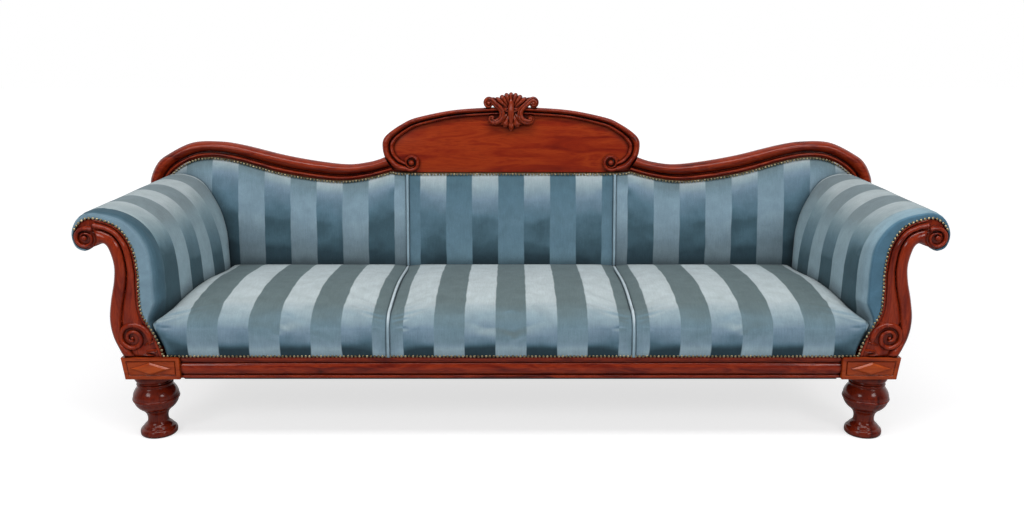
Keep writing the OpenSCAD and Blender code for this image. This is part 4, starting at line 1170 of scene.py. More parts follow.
@dataclass
class ArmFacing:
    """The carved front of an arm: a volute at the top, a neck that swells and splits, and a coil at the foot."""

    side: Side
    nailed_shares: tuple[Pair, ...] = (
        (1, 0), (0.912, 0.156), (0.824, 0.247), (0.759, 0.343), (0.755, 0.491), (0.764, 0.625),
        (0.722, 0.798), (0.60, 0.915), (0.45, 0.972), (0.282, 1.0))
    outer_shares: tuple[Pair, ...] = (
        (0.491, 0), (0.384, 0.146), (0.356, 0.28), (0.394, 0.418), (0.458, 0.562), (0.477, 0.675),
        (0.435, 0.783), (0.38, 0.824), (0.30, 0.82), (0.259, 0.804))
    upper: Volute = Volute(
        eye=(0.144, 0.866), disc=((0, 3.2), (29.5, 3.0), (31, 1.6), (31.4, -1)),
        button=((0, 13.5), (3, 13), (5.8, 11), (7.6, 8), (8.2, 4), (8.2, 0)), button_facets=32,
        turns=((500, 10.5), (430, 14), (360, 20.5), (300, 22), (240, 22.6), (180, 22.4), (130, 23.4), (90, 26),
               (55, 31), (40, 36)), half_widths=(3.2, 7.6))
    lower: Volute = Volute(
        eye=(0.625, 0.141), disc=((0, 2.4), (30, 2.2), (33, 1.2), (33.4, -1)),
        button=((0, 9.5), (2.4, 9.0), (4.2, 7.2), (5.0, 4.5), (5.2, 0)), button_facets=24,
        turns=((-60, 6), (-130, 9.5), (-180, 12.5), (-225, 15.8), (-270, 19), (-315, 21.8), (-360, 24.2), (-405, 26.2),
               (-450, 28), (-495, 29.8), (-540, 31.8), (-585, 35), (-630, 39), (-675, 43), (-715, 47), (-745, 50)),
        half_widths=(4.6, 9.0))
    relief: float = 15.0
    leaf_marks: tuple[tuple, ...] = (
        ((0.36, 0.925), (0.175, 0.952), 7.0, 13.0, -4.0), ((0.33, 0.905), (0.235, 0.925), 4.0, 14.0, -2.0),
        ((0.765, 0.085), (0.945, 0.125), 7.5, 13.0, -2.5), ((0.775, 0.045), (0.965, 0.055), 8.0, 14.5, 2.0),
        ((0.70, 0.03), (0.91, 0.012), 6.0, 12.0, 1.0), ((0.80, 0.145), (0.915, 0.165), 6.0, 11.0, 1.5),
        ((0.55, 0.265), (0.50, 0.232), 3.6, 8.0, 2.0))
    crease: tuple[Pair, ...] = (
        (0.12, 0.74), (0.222, 0.69), (0.307, 0.62), (0.372, 0.56), (0.45, 0.50), (0.56, 0.45), (0.70, 0.41),
        (0.90, 0.36))

    def height(self, s: float, t: float) -> float:
        """Relief of the neck in front of the board.

        Args:
            s: Share across, from the nailed edge to the outer edge.
            t: Share along, from the block up to the volute.

        Returns:
            The relief in millimetres.
        """
        c = between(t, self.crease)
        rolled = ridge(c, c + 0.5 * (1 - c), 1.0, s, 0.55)
        leaf = (0.50 + 0.26 * bump_out(0.4, 0.6, t)) * ridge(0.125, 0.125 + 0.5 * (c - 0.125), c, s, 0.6)
        return 0.3 + self.relief * max(leaf, rolled)

    def build(self) -> None:
        """Carve the facing."""
        face = PLAN.face_y
        edges = [through([SCROLL.spot(s) for s in shares]) for shares in (self.nailed_shares, self.outer_shares)]
        low, high = SCROLL.spot(self.lower.eye), SCROLL.spot(self.upper.eye)

        def front(s: float, t: float, p: Vector) -> float:
            """Depth of the carved face, which is flat round both eyes."""
            clear = bump_out(26, 38, (p - low).length) * bump_out(27, 40, (p - high).length)
            clear *= 1 - 0.8 * (1 - bump_out(0.12, 0.24, t)) * (1 - bump_out(0.3, 0.55, s))
            rise = self.height(s, t) * clear * bump_out(-0.01, 0.03, t)
            return face - max(rise, 3.6 * arch(0.005, 0.105, s)) - 0.3

        bm = carved_strip(56, 150, edges, front, face + 6)
        plate(bm, [tuple(p) for p in SCROLL.outline()], face, face + PLAN.scroll_t, 1.6)
        for volute in (self.upper, self.lower):
            volute.carve(bm)
        self.leaves(bm)
        make_piece("carved_facing", bm, PolishedMahogany(Axis.Z, figure_mm=40), stands_for=("arm_facing",), sharp=48,
                   side=self.side)

    def leaves(self, bm: Mesh) -> None:
        """Carve the hooked leaf by the upper volute and the leaves at the lower inner corner."""
        for root, tip, wide, high, bow in self.leaf_marks:
            petal(bm, stood(SCROLL.spot(root), PLAN.face_y), stood(SCROLL.spot(tip), PLAN.face_y), wide, high, bow, OUT)


@dataclass
class TopRail:
    """A serpentine moulded top rail: a bead by the nails, a deep groove and a big torus."""

    side: Side

    def build(self) -> None:
        """Run the moulding."""

        def front(s: float, _along: float, _spot: Vector) -> float:
            """Depth of the moulded face."""
            rise = 0.62 + 0.20 * arch(0.07, 0.24, s) - 0.10 * arch(0.22, 0.38, s, 1.0)
            rise = max(rise, 0.40 + 0.60 * ridge(0.33, 0.66, 1.07, s, 0.55))
            return PLAN.post_n - PLAN.top_rail_t * min(rise, 1.0)

        edges = [NAIL_LINE.edge(shares) for shares in (NAIL_LINE.nailed_shares, NAIL_LINE.outer_shares)]
        bm = carved_strip(48, 120, edges, front, PLAN.post_n)
        make_piece("moulded_top_rail", bm, PolishedMahogany(Axis.X), PLAN.leaned(), stands_for=("top_rail",), sharp=48,
                   side=self.side)


@dataclass
class Crest:
    """The crest: a plain panel, an arched moulding that ends in volutes, and a carved ornament."""

    outer_shares: tuple[Pair, ...] = (
        (-0.82, 0.01), (-0.89, 0.042), (-0.944, 0.127), (-0.984, 0.235), (-1, 0.385), (-0.991, 0.507),
        (-0.941, 0.615), (-0.843, 0.742), (-0.733, 0.836), (-0.468, 0.944), (-0.211, 0.986), (-0.0, 1.0))
    inner_shares: tuple[Pair, ...] = (
        (-0.824, 0.155), (-0.867, 0.197), (-0.895, 0.254), (-0.913, 0.315), (-0.918, 0.40), (-0.902, 0.465),
        (-0.862, 0.55), (-0.785, 0.653), (-0.703, 0.718), (-0.461, 0.826), (-0.211, 0.869), (-0.0, 0.885))
    volute_share: Pair = (-0.777, 0.141)
    volute_turns: tuple[Pair, ...] = (
        (-152, 31), (-132, 27), (-90, 23.4), (-40, 21.6), (20, 20.6), (80, 20.2), (140, 19.4), (200, 18), (260, 16),
        (320, 13.8))
    moulding_t: float = 24.0
    low_round: tuple[Pair, ...] = (
        (-1, -0.4), (-1, 0.2), (-0.86, 0.6), (-0.5, 0.92), (0, 1), (0.5, 0.92), (0.86, 0.6), (1, 0.2), (1, -0.4))
    fat_rim: tuple[Pair, ...] = (
        (-1, -2.2), (-1, 0.0), (-0.9, 0.45), (-0.72, 0.72), (-0.5, 0.8), (-0.34, 0.66), (-0.22, 0.62),
        (-0.05, 0.86), (0.25, 1.0), (0.55, 0.95), (0.82, 0.66), (0.96, 0.25), (1, -0.2), (1, -2.2))
    scroll_bend: tuple[Pair, ...] = (
        (50, 854), (40, 858.5), (32, 867), (28.6, 879), (31, 891), (38, 900), (46.5, 907.5), (56, 916.5), (64, 923))
    scroll_widths: tuple[Pair, ...] = (
        (0, 3.2), (0.24, 6.2), (0.34, 10.4), (0.46, 9.6), (0.58, 10.2), (0.7, 6.6), (1, 3.8))
    scroll_heights: tuple[Pair, ...] = ((0, 7), (0.4, 10), (0.6, 10), (1, 7.5))
    leaf_marks: tuple[tuple, ...] = (
        ((3, 886, 25), (29, 899, 24), 6.5, 12, 1.5), ((48, 920, 24), (62, 934, 22), 5.0, 9, -2.5),
        ((14, 862, 20), (40, 846, 18), 6.0, 10, 4.0))
    ground: tuple[Pair, ...] = (
        (-30, 862), (-24, 880), (-38, 906), (-52, 922), (-30, 936), (0, 941), (30, 936), (52, 922), (38, 906),
        (24, 880), (30, 862), (0, 838))

    def spot(self, share: Pair) -> Vector:
        """Place on the leaning back of a share of the crest's half width and height."""
        return Vector((share[0] * PLAN.crest_w / 2,
                       PLAN.up_back(PLAN.crest_foot) + share[1] * PLAN.crest_h / PLAN.upright))

    def edge(self, shares: Sequence[Pair]) -> Track:
        """One edge of the left half of the moulding."""
        return through([self.spot(share) for share in shares])

    def build(self) -> None:
        """Cut the panel, run the moulding and carve the ornament."""
        self.panel()
        self.moulding()
        self.ornament()

    def panel(self) -> None:
        """Cut the flat panel."""
        half = [tuple(p) for p in self.edge(self.outer_shares).sampled(60)]
        shrunk = [(x * 0.985, z - 3.5 * bump_out(0.0, 0.6, k / 59)) for k, (x, z) in enumerate(half)]
        foot = PLAN.up_back(PLAN.crest_foot)
        corner = [(-352, foot - 1), (-392, foot + 1), (-412, foot + 24), (-419, foot + 46)]
        shrunk = corner + [p for p in shrunk if p[1] > foot + 56]
        bm = bmesh.new()
        outline = shrunk + [(-x, z) for x, z in reversed(shrunk[:-1])]
        plate(bm, outline, PLAN.crest_panel_n, PLAN.post_n, 1.2)
        make_piece("figured_crest_panel", bm,
                   PolishedMahogany(Axis.X, body="#82220a", bright="#963410", dark="#641508", figure_mm=46),
                   PLAN.leaned(), stands_for=("crest_panel",), sharp=35)

    def moulding(self) -> None:
        """Run the arched moulding and turn its volutes."""
        face = PLAN.crest_panel_n

        def front(s: float, _along: float, _spot: Vector) -> float:
            """Depth of the moulded face."""
            rise = max(0.20, ridge(-0.12, 0.30, 0.62, s, 0.55), 0.28 + 0.44 * arch(0.66, 0.98, s, 0.5))
            return face - self.moulding_t * rise

        bm = carved_strip(32, 110, [self.edge(self.outer_shares), self.edge(self.inner_shares)], front, face + 1)
        eye = self.spot(self.volute_share)
        lathe(bm, [(0, 7), (24, 7), (26.5, 5), (27, 0)], stood(eye, face), OUT, 48)
        lathe(bm, [(0, 23), (3.5, 22.4), (6.8, 19.6), (9, 15.4), (9.8, 10), (9.8, 5)], stood(eye, face), OUT, 32)
        path = wound(eye, Track(self.volute_turns).sampled(150), face - 3)
        rod(bm, path, [7.4 - 4.0 * k / 149 for k in range(150)], [19 - 6 * k / 149 for k in range(150)], OUT,
            self.low_round)
        bmesh.ops.mirror(bm, geom=bm.verts[:] + bm.edges[:] + bm.faces[:], axis="X", merge_dist=0.5)
        make_piece("moulded_crest", bm, PolishedMahogany(Axis.X), PLAN.leaned(),
                   stands_for=("crest_moulding",), sharp=48)

    def up(self, x: float, height: float, proud: float) -> Vector:
        """Place on the ornament of a height above the floor, proud of the moulding's foot."""
        return Vector((x, PLAN.crest_panel_n - proud, PLAN.up_back(height)))

    def lobed(self, bm: Mesh, root: float, spread: float, reach: Sequence[Pair], lobes: int,
              proud: Pair) -> None:
        """Carve a fan of rounded lobes.

        Args:
            bm: The mesh that gets the fan.
            root: Height of its root above the floor.
            spread: Angle in degrees from its middle to its side.
            reach: Shares of the spread, each with the fan's radius there; a negative one hangs.
            lobes: How many lobes it has.
            proud: How far its root and its rim stand out.
        """

        def front(u: float, v: float) -> Vector:
            """Point of the carved lobes."""
            turn = 2 * u - 1
            a = math.radians(spread * turn)
            wave = abs(math.sin(math.pi * lobes * u))
            r = between(abs(turn), reach)
            r *= v * (1 - 0.11 * (1 - wave ** 0.7) * v * v)
            rise = proud[0] + (proud[1] - proud[0]) * math.sin(math.pi * min(v, 0.82) / 1.64)
            rise += 4.6 * (wave ** 0.8) * bump_out(0.12, 0.6, v) - 9.0 * bump_out(0.84, 1.0, v)
            return self.up(abs(r) * math.sin(a), root + r * math.cos(a), rise)

        piece = shaped_grid(14 * lobes, 26, front)
        back_up(piece, lambda u, v: stood(front(u, v).xz, PLAN.crest_panel_n - 2))
        bmesh.ops.remove_doubles(piece, verts=piece.verts[:], dist=0.01)
        mesh = bpy.data.meshes.new("fan")
        piece.to_mesh(mesh)
        piece.free()
        bm.from_mesh(mesh)
        bpy.data.meshes.remove(mesh)

    def ornament(self) -> None:
        """Carve the fan, the two scrolls and the hanging leaves."""
        bm = bmesh.new()
        self.lobed(bm, 893, 60, ((0, 57.5), (0.35, 58), (0.62, 59), (0.8, 64), (0.92, 66), (1.0, 60)), 7, (15, 26))
        self.lobed(bm, 894, 54, ((0, -69), (0.16, -63), (0.3, -61), (0.66, -61), (0.9, -59), (1.0, -54)), 5, (19, 23))
        eyes = ((61.5, 865.0), (73.5, 914.5))
        lower, upper = spiral(eyes[0], (150, 4.2), (-95, 10.4), 16), spiral(eyes[1], (112, 12.6), (-240, 7.0), 22)
        line = [*lower, *self.scroll_bend, *upper]
        shares = [k / (len(line) - 1) for k in range(len(line))]
        widths, heights = ([between(t, marks) for t in shares] for marks in (self.scroll_widths, self.scroll_heights))
        for sign in (-1, 1):
            rod(bm, [self.up(sign * x, z, 24) for x, z in line], widths, heights, OUT, self.fat_rim)
            for (x, z), r in zip(eyes, (5.2, 6.4)):
                bmesh.ops.create_uvsphere(bm, u_segments=18, v_segments=12, radius=r,
                                          matrix=Matrix.Translation(self.up(sign * x, z, 29)))
            for (x0, *root), (x1, *tip), wide, high, bow in self.leaf_marks:
                petal(bm, self.up(sign * x0, *root), self.up(sign * x1, *tip), wide, high, bow * sign, OUT)
        shape = Matrix.LocRotScale(self.up(0, 888, 24), None, (10.5, 11, 44))
        bmesh.ops.create_uvsphere(bm, u_segments=24, v_segments=20, radius=1.0, matrix=shape)
        plate(bm, [(x, PLAN.up_back(z)) for x, z in self.ground], PLAN.crest_panel_n - 20, PLAN.crest_panel_n + 14, 1.0)
        make_piece("carved_crest_ornament", bm,
                   PolishedMahogany(Axis.Z, body="#6e200f", bright="#8c3216", dark="#3a0e07", crevice_mm=8),
                   PLAN.leaned(), stands_for=("crest_carving",), sharp=50)


@dataclass
class NailRow:
    """Close rows of domed brass nails along the edges of the cover."""

    seat_line: tuple[Pair, Pair] = ((-977.0, 263.5), (977.0, 263.5))
    pitch: float = 10.8
    head_r: float = 4.3
    head_h: float = 3.4
    arm_end: float = 0.80

    def drive(self, bm: Mesh, heads: Sequence[tuple[Vector, Vector]]) -> None:
        """Set a dome at each place.

        Args:
            bm: The mesh that gets the domes, which is empty.
            heads: The foot of each head and the direction it faces.
        """
        bmesh.ops.create_uvsphere(bm, u_segments=8, v_segments=6, radius=1.0)
        cut = bmesh.ops.bisect_plane(bm, geom=bm.verts[:] + bm.edges[:] + bm.faces[:], plane_co=(0, 0, 0),
                                     plane_no=(0, 0, 1), clear_inner=True, dist=1e-4)
        dome = [g for g in cut["geom"] if g.is_valid]
        for foot, out in heads:
            copy = bmesh.ops.duplicate(bm, geom=dome)["geom"]
            turn = out.to_track_quat("Z", "Y").to_matrix().to_4x4()
            size = Matrix.Diagonal((self.head_r, self.head_r, self.head_h, 1))
            bmesh.ops.transform(bm, matrix=Matrix.Translation(foot) @ turn @ size, verts=points_of(copy))
        bmesh.ops.delete(bm, geom=points_of(dome), context="VERTS")

    def build(self) -> None:
        """Nail the seat, both arms and the back."""
        out = Vector((0, -1, 0.12)).normalized()
        bm = bmesh.new()
        line = Track(self.seat_line).paced(self.pitch)
        self.drive(bm, [(stood(p, PLAN.face_y - 3.2), out) for p in line])
        make_piece("seat_nails", bm, AntiqueBrass(), sharp=80)
        for side in Side:
            bm = bmesh.new()
            edge = through([SCROLL.nailed(-0.05 + (self.arm_end + 0.05) * k / 40) for k in range(41)]).paced(self.pitch)
            heads = []
            for i, p in enumerate(edge):
                ahead = (edge[min(i + 1, len(edge) - 1)] - edge[max(i - 1, 0)]).normalized()
                outwards = Vector((ahead.y, -ahead.x))
                heads.append((stood(p + outwards, PLAN.face_y - 2.6), stood(outwards * 0.45, -1).normalized()))
            self.drive(bm, heads)
            make_piece("arm_nails", bm, AntiqueBrass(), sharp=80, side=side)
        bm = bmesh.new()
        half = NAIL_LINE.half()
        line = through(half + [Vector((-p.x, p.y)) for p in reversed(half[:-1])]).paced(self.pitch)
        self.drive(bm, [(Vector((p.x, -1.2, p.y - 5.2)), Vector((0, -1, -0.15)).normalized()) for p in line])
        make_piece("back_nails", bm, AntiqueBrass(), PLAN.leaned(), sharp=80)


@dataclass
class Stuffing:
    """How a nailed or sewn cover swells over its filling."""

    pressure: float = 4.0
    cap: float = 7.0
    frames: int = 20

    def swell(self, piece: bpy.types.Object) -> None:
        """Swell a piece by cloth simulation and apply the result.

        Args:
            piece: The piece, whose mesh has a point attribute "hold" of 1 where it is fixed.
        """
        mesh = piece.data
        held = piece.vertex_groups.new(name="hold")
        for i, value in enumerate(mesh.attributes["hold"].data):
            held.add([i], value.value, "REPLACE")
        rest = [v.co.copy() for v in mesh.vertices]
        cloth = piece.modifiers.new("swelling", "CLOTH")
        for setting, value in (("quality", 4), ("mass", 0.3), ("tension_stiffness", 18), ("compression_stiffness", 18),
                               ("shear_stiffness", 8), ("bending_stiffness", 1.5), ("vertex_group_mass", held.name),
                               ("use_pressure", True), ("uniform_pressure_force", self.pressure)):
            setattr(cloth.settings, setting, value)
        cloth.settings.effector_weights.gravity = 0
        cloth.collision_settings.use_collision = False
        cloth.point_cache.frame_start, cloth.point_cache.frame_end = 1, self.frames
        scene = bpy.context.scene
        for step in range(1, self.frames + 1):
            scene.frame_set(step)
        result = piece.evaluated_get(bpy.context.evaluated_depsgraph_get()).to_mesh()
        moved = [v.co.copy() for v in result.vertices]
        piece.modifiers.remove(cloth)
        scene.frame_set(1)
        for vert, before, after in zip(mesh.vertices, rest, moved):
            step_out = after - before
            if step_out.length > self.cap * MM:
                step_out *= self.cap * MM / step_out.length
            vert.co = before + step_out
        mesh.update()
        log.info("%s: swelled by up to %.1f mm", piece.name, 1000 * max((a - b).length for a, b in zip(moved, rest)))


def point_layer(bm: Mesh, name: str, rule: Callable[[Vert], float]) -> None:
    """Write a number for each point to a layer.

    Args:
        bm: The mesh.
        name: The layer's name.
        rule: Gives a point's number.
    """
    layer = bm.verts.layers.float.new(name)
    for vert in bm.verts:
        vert[layer] = rule(vert)


def hold_sewn(bm: Mesh, lining: Sequence[Vert], top: float) -> None:
    """Say how firmly the points of a sewn panel are held.

    Args:
        bm: The panel's mesh.
        lining: The points of its underside, which don't move.
        top: Share along the panel from which its top edge is held.
    """
    under = set(lining)
    across, along = share_layers(bm)

    def grip(vert: Vert) -> float:
        """How firmly a point is held."""
        if vert in under or not 0.03 <= vert[along] <= top:
            return 1.0
        sewn = min(vert[across], 1 - vert[across])
        return 1.0 if sewn < 0.02 else max(0.0, 0.6 - sewn * 12)

    point_layer(bm, "hold", grip)


def ripple(point: Vector, size: float, seed: float) -> float:
    """Slow unevenness of a stuffed cover at a point, from about -1 to 1."""
    return noise.noise(Vector((point.x / size + seed, point.y / size, point.z / size)))


def upholster(name: str, bm: Mesh, velvet: Finish, node: str, cap: float,
              placement: Matrix = Matrix.Identity(4)) -> bpy.types.Object:
    """Make a stuffed piece of striped velvet and let it swell.

    Args:
        name: The piece's name.
        bm: Its mesh, with the layer "hold".
        velvet: Its finish.
        node: The CAD node that it replaces.
        cap: How far it may swell, in millimetres.
        placement: Where the mesh goes.

    Returns:
        The piece.
    """
    piece = make_piece(name, bm, velvet, placement, stands_for=(node,), sharp=60)
    Stuffing(cap=cap).swell(piece)
    return stuffed(piece)


def upholster_twin(left: bpy.types.Object, name: str, velvet: Finish, node: str) -> None:
    """Make the stuffed piece for the right end of the sofa from the swollen left one.

    Args:
        left: The left piece.
        name: The new piece's name.
        velvet: The new piece's finish.
        node: The CAD node that the new piece replaces.
    """
    bm = bmesh.new()
    bm.from_mesh(left.data)
    bmesh.ops.transform(bm, matrix=Matrix.Diagonal((-1 / MM, 1 / MM, 1 / MM, 1)), verts=bm.verts[:])
    stuffed(make_piece(name, bm, velvet, stands_for=(node,), sharp=60))


def lay_piping(name: str, side: Side, path: Sequence[Vector], radius: float,
               placement: Matrix = Matrix.Identity(4)) -> None:
    """Lay a round piping in a seam.

    Args:
        name: The piece's name, without its side.
        side: The end of the sofa that the seam is nearer to.
        path: The seam's line on the left.
        radius: The piping's radius.
        placement: Where it goes.
    """
    bm = bmesh.new()
    widths = [radius] * len(path)
    rod(bm, path, widths, widths, Vector((1, 0, 0)), round_section(12))
    make_piece(name, bm, PlainVelvet(), placement, sharp=80, side=side)


@dataclass
class SeatUpholstery:
    """Three crowned seat panels that are sewn together and roll over the front rail."""

    profile_mm: tuple[Pair, ...] = (
        (-342.8, 261.5), (-347.4, 276), (-350, 300), (-350.6, 322), (-347.6, 344.3), (-338.5, 365), (-321, 379.6),
        (-296, 388), (-262, 393), (-210.5, 399.7), (-126, 406), (-30, 406), (59.7, 399.7), (138.5, 393.3), (223, 387))
    velvet: StripedVelvet = StripedVelvet("striped_seat_velvet")
    fill: float = 0.75
    seam_dip: float = 11.0
    seam_spread: float = 30.0
    piping_r: float = 4.6
    # Painted light: marks along the profile that shift how far the cloth is painted as if it faced up.
    light_turn_marks: tuple[Pair, ...] = (
        (0, 0.0), (15, 0.02), (39, 0.1), (61, 0.17), (84, 0.27), (106, 0.39), (129, 0.53), (156, 0.72), (190, 0.88),
        (242, 0.95), (420, 0.98))
    arm_gap: float = 4.0
    stations: list[tuple[float, float, float, float, float]] = field(default_factory=list)

    def __post_init__(self) -> None:
        """Read the left arm's edge once, from the block upwards: place, height, both stuffings and lowness."""
        for share in (i / 36 for i in range(37)):
            front, rear = (SCROLL.stuffing(share, depth).x for depth in (0.0, 1.0))
            self.stations.append((*SCROLL.nailed(share), front, rear, SCROLL.low(share)))

    def away(self, height: float) -> float:
        """How far a height lies above the nails, from 0 to 1."""
        return bump_out(PLAN.rail_top, 330, height)

    def frontal(self, y: float) -> float:
        """How far a place lies round the front roll, from 0 to 1."""
        return bump_out(-262, -338, y)

    def half_at(self, y: float, height: float) -> float:
        """Half the room that the arms leave for the seat.

        Args:
            y: The place in depth.
            height: The height above the floor.

        Returns:
            The distance from the sofa's middle, in millimetres.
        """
        back = PLAN.lean_y(height, PLAN.post_n - PLAN.top_rail_t - 0.3)
        t = min(max((y - PLAN.face_y) / (back - PLAN.face_y), 0.0), 1.0)
        clear = -max(x + front * (1 - t) + rear * t for x, _, front, rear, _ in self.stations) - self.arm_gap
        near = SCROLL.near(t)
        if near == 0.0:
            return clear
        edge = between(height, [(PLAN.rail_top, -979.0)] + [(z, x) for x, z, *_ in self.stations[:16]])
        low = between(height, [(z, share) for _, z, _, _, share in self.stations[:16]])
        return clear + near ** 3.2 * low * max(0.0, -edge - 9 - clear)

    def panel(self, name: str, middle: bool) -> bpy.types.Object:
        """Build and stuff one panel.

        Args:
            name: The piece's name.
            middle: Whether it is the middle panel; otherwise it is the left one.

        Returns:
            The piece.
        """
        track = Track(self.profile_mm)
        seam = PLAN.seam_x

        def cross(u: float, y: float, height: float) -> float:
            """Place across the sofa for a share across the panel."""
            if middle:
                return seam * (2 * u - 1)
            half = self.half_at(y, height)
            return -half + (half - seam) * u

        def face(u: float, v: float) -> Vector:
            """Point of the panel's cover."""
            p = track.at(v)
            x = cross(u, p.x, p.y)
            ends = [abs(x - seam), abs(x + seam)] if middle else [abs(x + seam)]
            pull = self.seam_dip * max(math.exp(-(e / self.seam_spread) ** 2) for e in ends)
            if not middle:
                pull = max(pull, 7.0 * math.exp(-((x + self.half_at(p.x, p.y)) / 20) ** 2))
            away = self.away(p.y)
            flat = 1 - bump_out(0.93, 1.0, v)
            wave = 1.4 * ripple(Vector((x, p.x, p.y)), 90, 3.1) * away * flat
            frontal = self.frontal(p.x)
            drop = (pull - wave) * away * (1 - 0.5 * frontal) * max(flat, 0.4)
            return Vector((x, p.x + pull * frontal * away * 0.8, p.y - drop))

        def under(u: float, v: float) -> Vector:
            """Point of the panel's underside, over the springs."""
            p = track.at(v)
            y = max(p.x, PLAN.face_y + 44)
            z = 263.0 if v < 0.02 else min(302.0, p.y - 6)
            return Vector((cross(u, y, z), min(y, 214.0), z))

        bm = shaped_grid(76 if middle else 68, 84, face)
        hold_sewn(bm, back_up(bm, under), 0.985)
        along = bm.verts.layers.float["along"]
        marks = 200
        line = track.sampled(marks + 1)
        run = lengths(line)

        def painted_light_turn_at(vert: Vert) -> float:
            """How far the painted light is shifted from the cover's own facing, round the front roll."""
            k = min(max(int(vert[along] * marks), 1), marks - 1)
            step = line[k + 1] - line[k - 1]
            return between(run[k], self.light_turn_marks) - step.x / max(step.length, 1e-6)

        point_layer(bm, "painted_light_turn", painted_light_turn_at)
        return upholster(name, bm, self.velvet, "seat_pad", 6.0)

    def build(self) -> None:
        """Make the three panels and the piping in their seams."""
        self.panel("seat_middle_panel", True)
        left = self.panel("seat_left_panel", False)
        upholster_twin(left, "seat_right_panel", self.velvet, "seat_pad")
        track = Track(self.profile_mm)
        path = []
        for k in range(90):
            p = track.at(0.01 + 0.985 * k / 89)
            drop = self.seam_dip * self.away(p.y)
            frontal = self.frontal(p.x)
            path.append(Vector((-PLAN.seam_x, p.x + drop * frontal * 0.8 - 0.5 * frontal,
                                p.y - drop * (1 - 0.5 * frontal) + 1.5 * (1 - frontal))))
        for side in Side:
            lay_piping("seat_piping", side, path, self.piping_r)


@dataclass
class BackUpholstery:
    """Three back panels between the seat and the nails, sewn together at two upright seams."""

    fill: float = 0.7
    crown: float = 11.0
    foot: float = -60.0
    piping_r: float = 4.9
    levels: tuple[Pair, ...] = (
        (0, -0.25), (0.02, 0.1), (0.12, 0.7), (0.32, 1), (0.62, 1), (0.85, 0.75), (0.96, 0.2), (1, -0.5))
    outer_top: float = 1130.0
    outer_foot: float = 998.0
    # Painted light: marks that shift how far the cloth is painted as if it faced up, by distance below the nails.
    middle_turn: tuple[Pair, ...] = (
        (0, 0.42), (20, 0.34), (53, 0.18), (93, 0.04), (147, -0.01), (260, -0.02), (330, -0.07))
    outer_turn: tuple[Pair, ...] = ((0, 0.45), (15, 0.28), (40, 0.05), (70, -0.02), (220, -0.04), (330, -0.1))
    # The second stripe is painted darker on the middle panel and lighter on the outer panels: painted shade and light.
    shaded_middle_velvet: StripedVelvet = StripedVelvet("striped_middle_back_velvet", plain=(
        (0.0, "#668493"), (0.14, "#5a7787"), (0.35, "#527080"), (0.58, "#4d6a78"), (1.0, "#4d6a78")))
    lit_outer_velvet: StripedVelvet = StripedVelvet("striped_back_velvet", plain=(
        (0.0, "#92aab6"), (0.15, "#8099a8"), (0.33, "#718a97"), (0.55, "#6a7f88"), (1.0, "#66797f")))

    def panel(self, name: str, middle: bool) -> bpy.types.Object:
        """Build and stuff one panel.

        Args:
            name: The piece's name.
            middle: Whether it is the middle panel; otherwise it is the left one.

        Returns:
            The piece.
        """
        seam, foot = PLAN.seam_x, self.foot

        def cross(u: float, v: float) -> float:
            """Place across the sofa for a share across the panel."""
            if middle:
                return seam * (2 * u - 1)
            outer = -(self.outer_foot + (self.outer_top - self.outer_foot) * v)
            return outer + (-seam - outer) * u

        tops: dict[float, float] = {}

        def face(u: float, v: float) -> Vector:
            """Point of the panel's cover, in the leaning frame."""
            x = cross(u, v)
            key = round(u, 5)
            if key not in tops:
                tops[key] = NAIL_LINE.height(cross(u, 1.0)) - 2.5
            top = tops[key]
            sewn = max(math.exp(-((x - s) / 26) ** 2) for s in (-seam, seam))
            edge = 0.0 if middle else math.exp(-(u / 0.04) ** 2)
            swell = self.crown * between(v, self.levels, eased=True) * (1 - 0.95 * sewn) * (1 - edge)
            swell += 1.3 * ripple(Vector((x, 0, v * top)), 85, 7.7) * math.sin(math.pi * v)
            return Vector((x, -swell, foot + v * (top - foot)))

        def rear(u: float, v: float) -> Vector:
            """Point of the panel's lining."""
            p = face(u, v)
            return Vector((p.x, 35.0, p.z - 1.5 * v))

        bm = shaped_grid(76 if middle else 84, 46, face)
        hold_sewn(bm, back_up(bm, rear), 0.975)
        along = bm.verts.layers.float["along"]
        turn = self.middle_turn if middle else self.outer_turn

        def painted_light_turn_at(vert: Vert) -> float:
            """How far the painted light is shifted towards an upward facing under the nails."""
            return between((1 - vert[along]) * (NAIL_LINE.height(vert.co.x) - foot), turn)

        point_layer(bm, "painted_light_turn", painted_light_turn_at)
        # Painted shade: the outer panels' second stripe is darkened towards their foot, by the seat and the arms.
        if not middle:
            point_layer(bm, "painted_low_shade", lambda vert: 0.55 * (1 - bump_out(0.2, 0.75, vert[along])))
        velvet = self.shaded_middle_velvet if middle else self.lit_outer_velvet
        return upholster(name, bm, velvet, "back_pad", 5.0, PLAN.leaned())

    def build(self) -> None:
        """Make the three panels and the piping in their seams."""
        self.panel("back_middle_panel", True)
        left = self.panel("back_left_panel", False)
        upholster_twin(left, "back_right_panel", self.lit_outer_velvet, "back_pad")
        top = NAIL_LINE.height(PLAN.seam_x) - 6
        path = [Vector((-PLAN.seam_x, -1.2 - 1.5 * math.sin(math.pi * k / 39), -4 + (top + 4) * k / 39))
                for k in range(40)]
        for side in Side:
            lay_piping("back_piping", side, path, self.piping_r, PLAN.leaned())


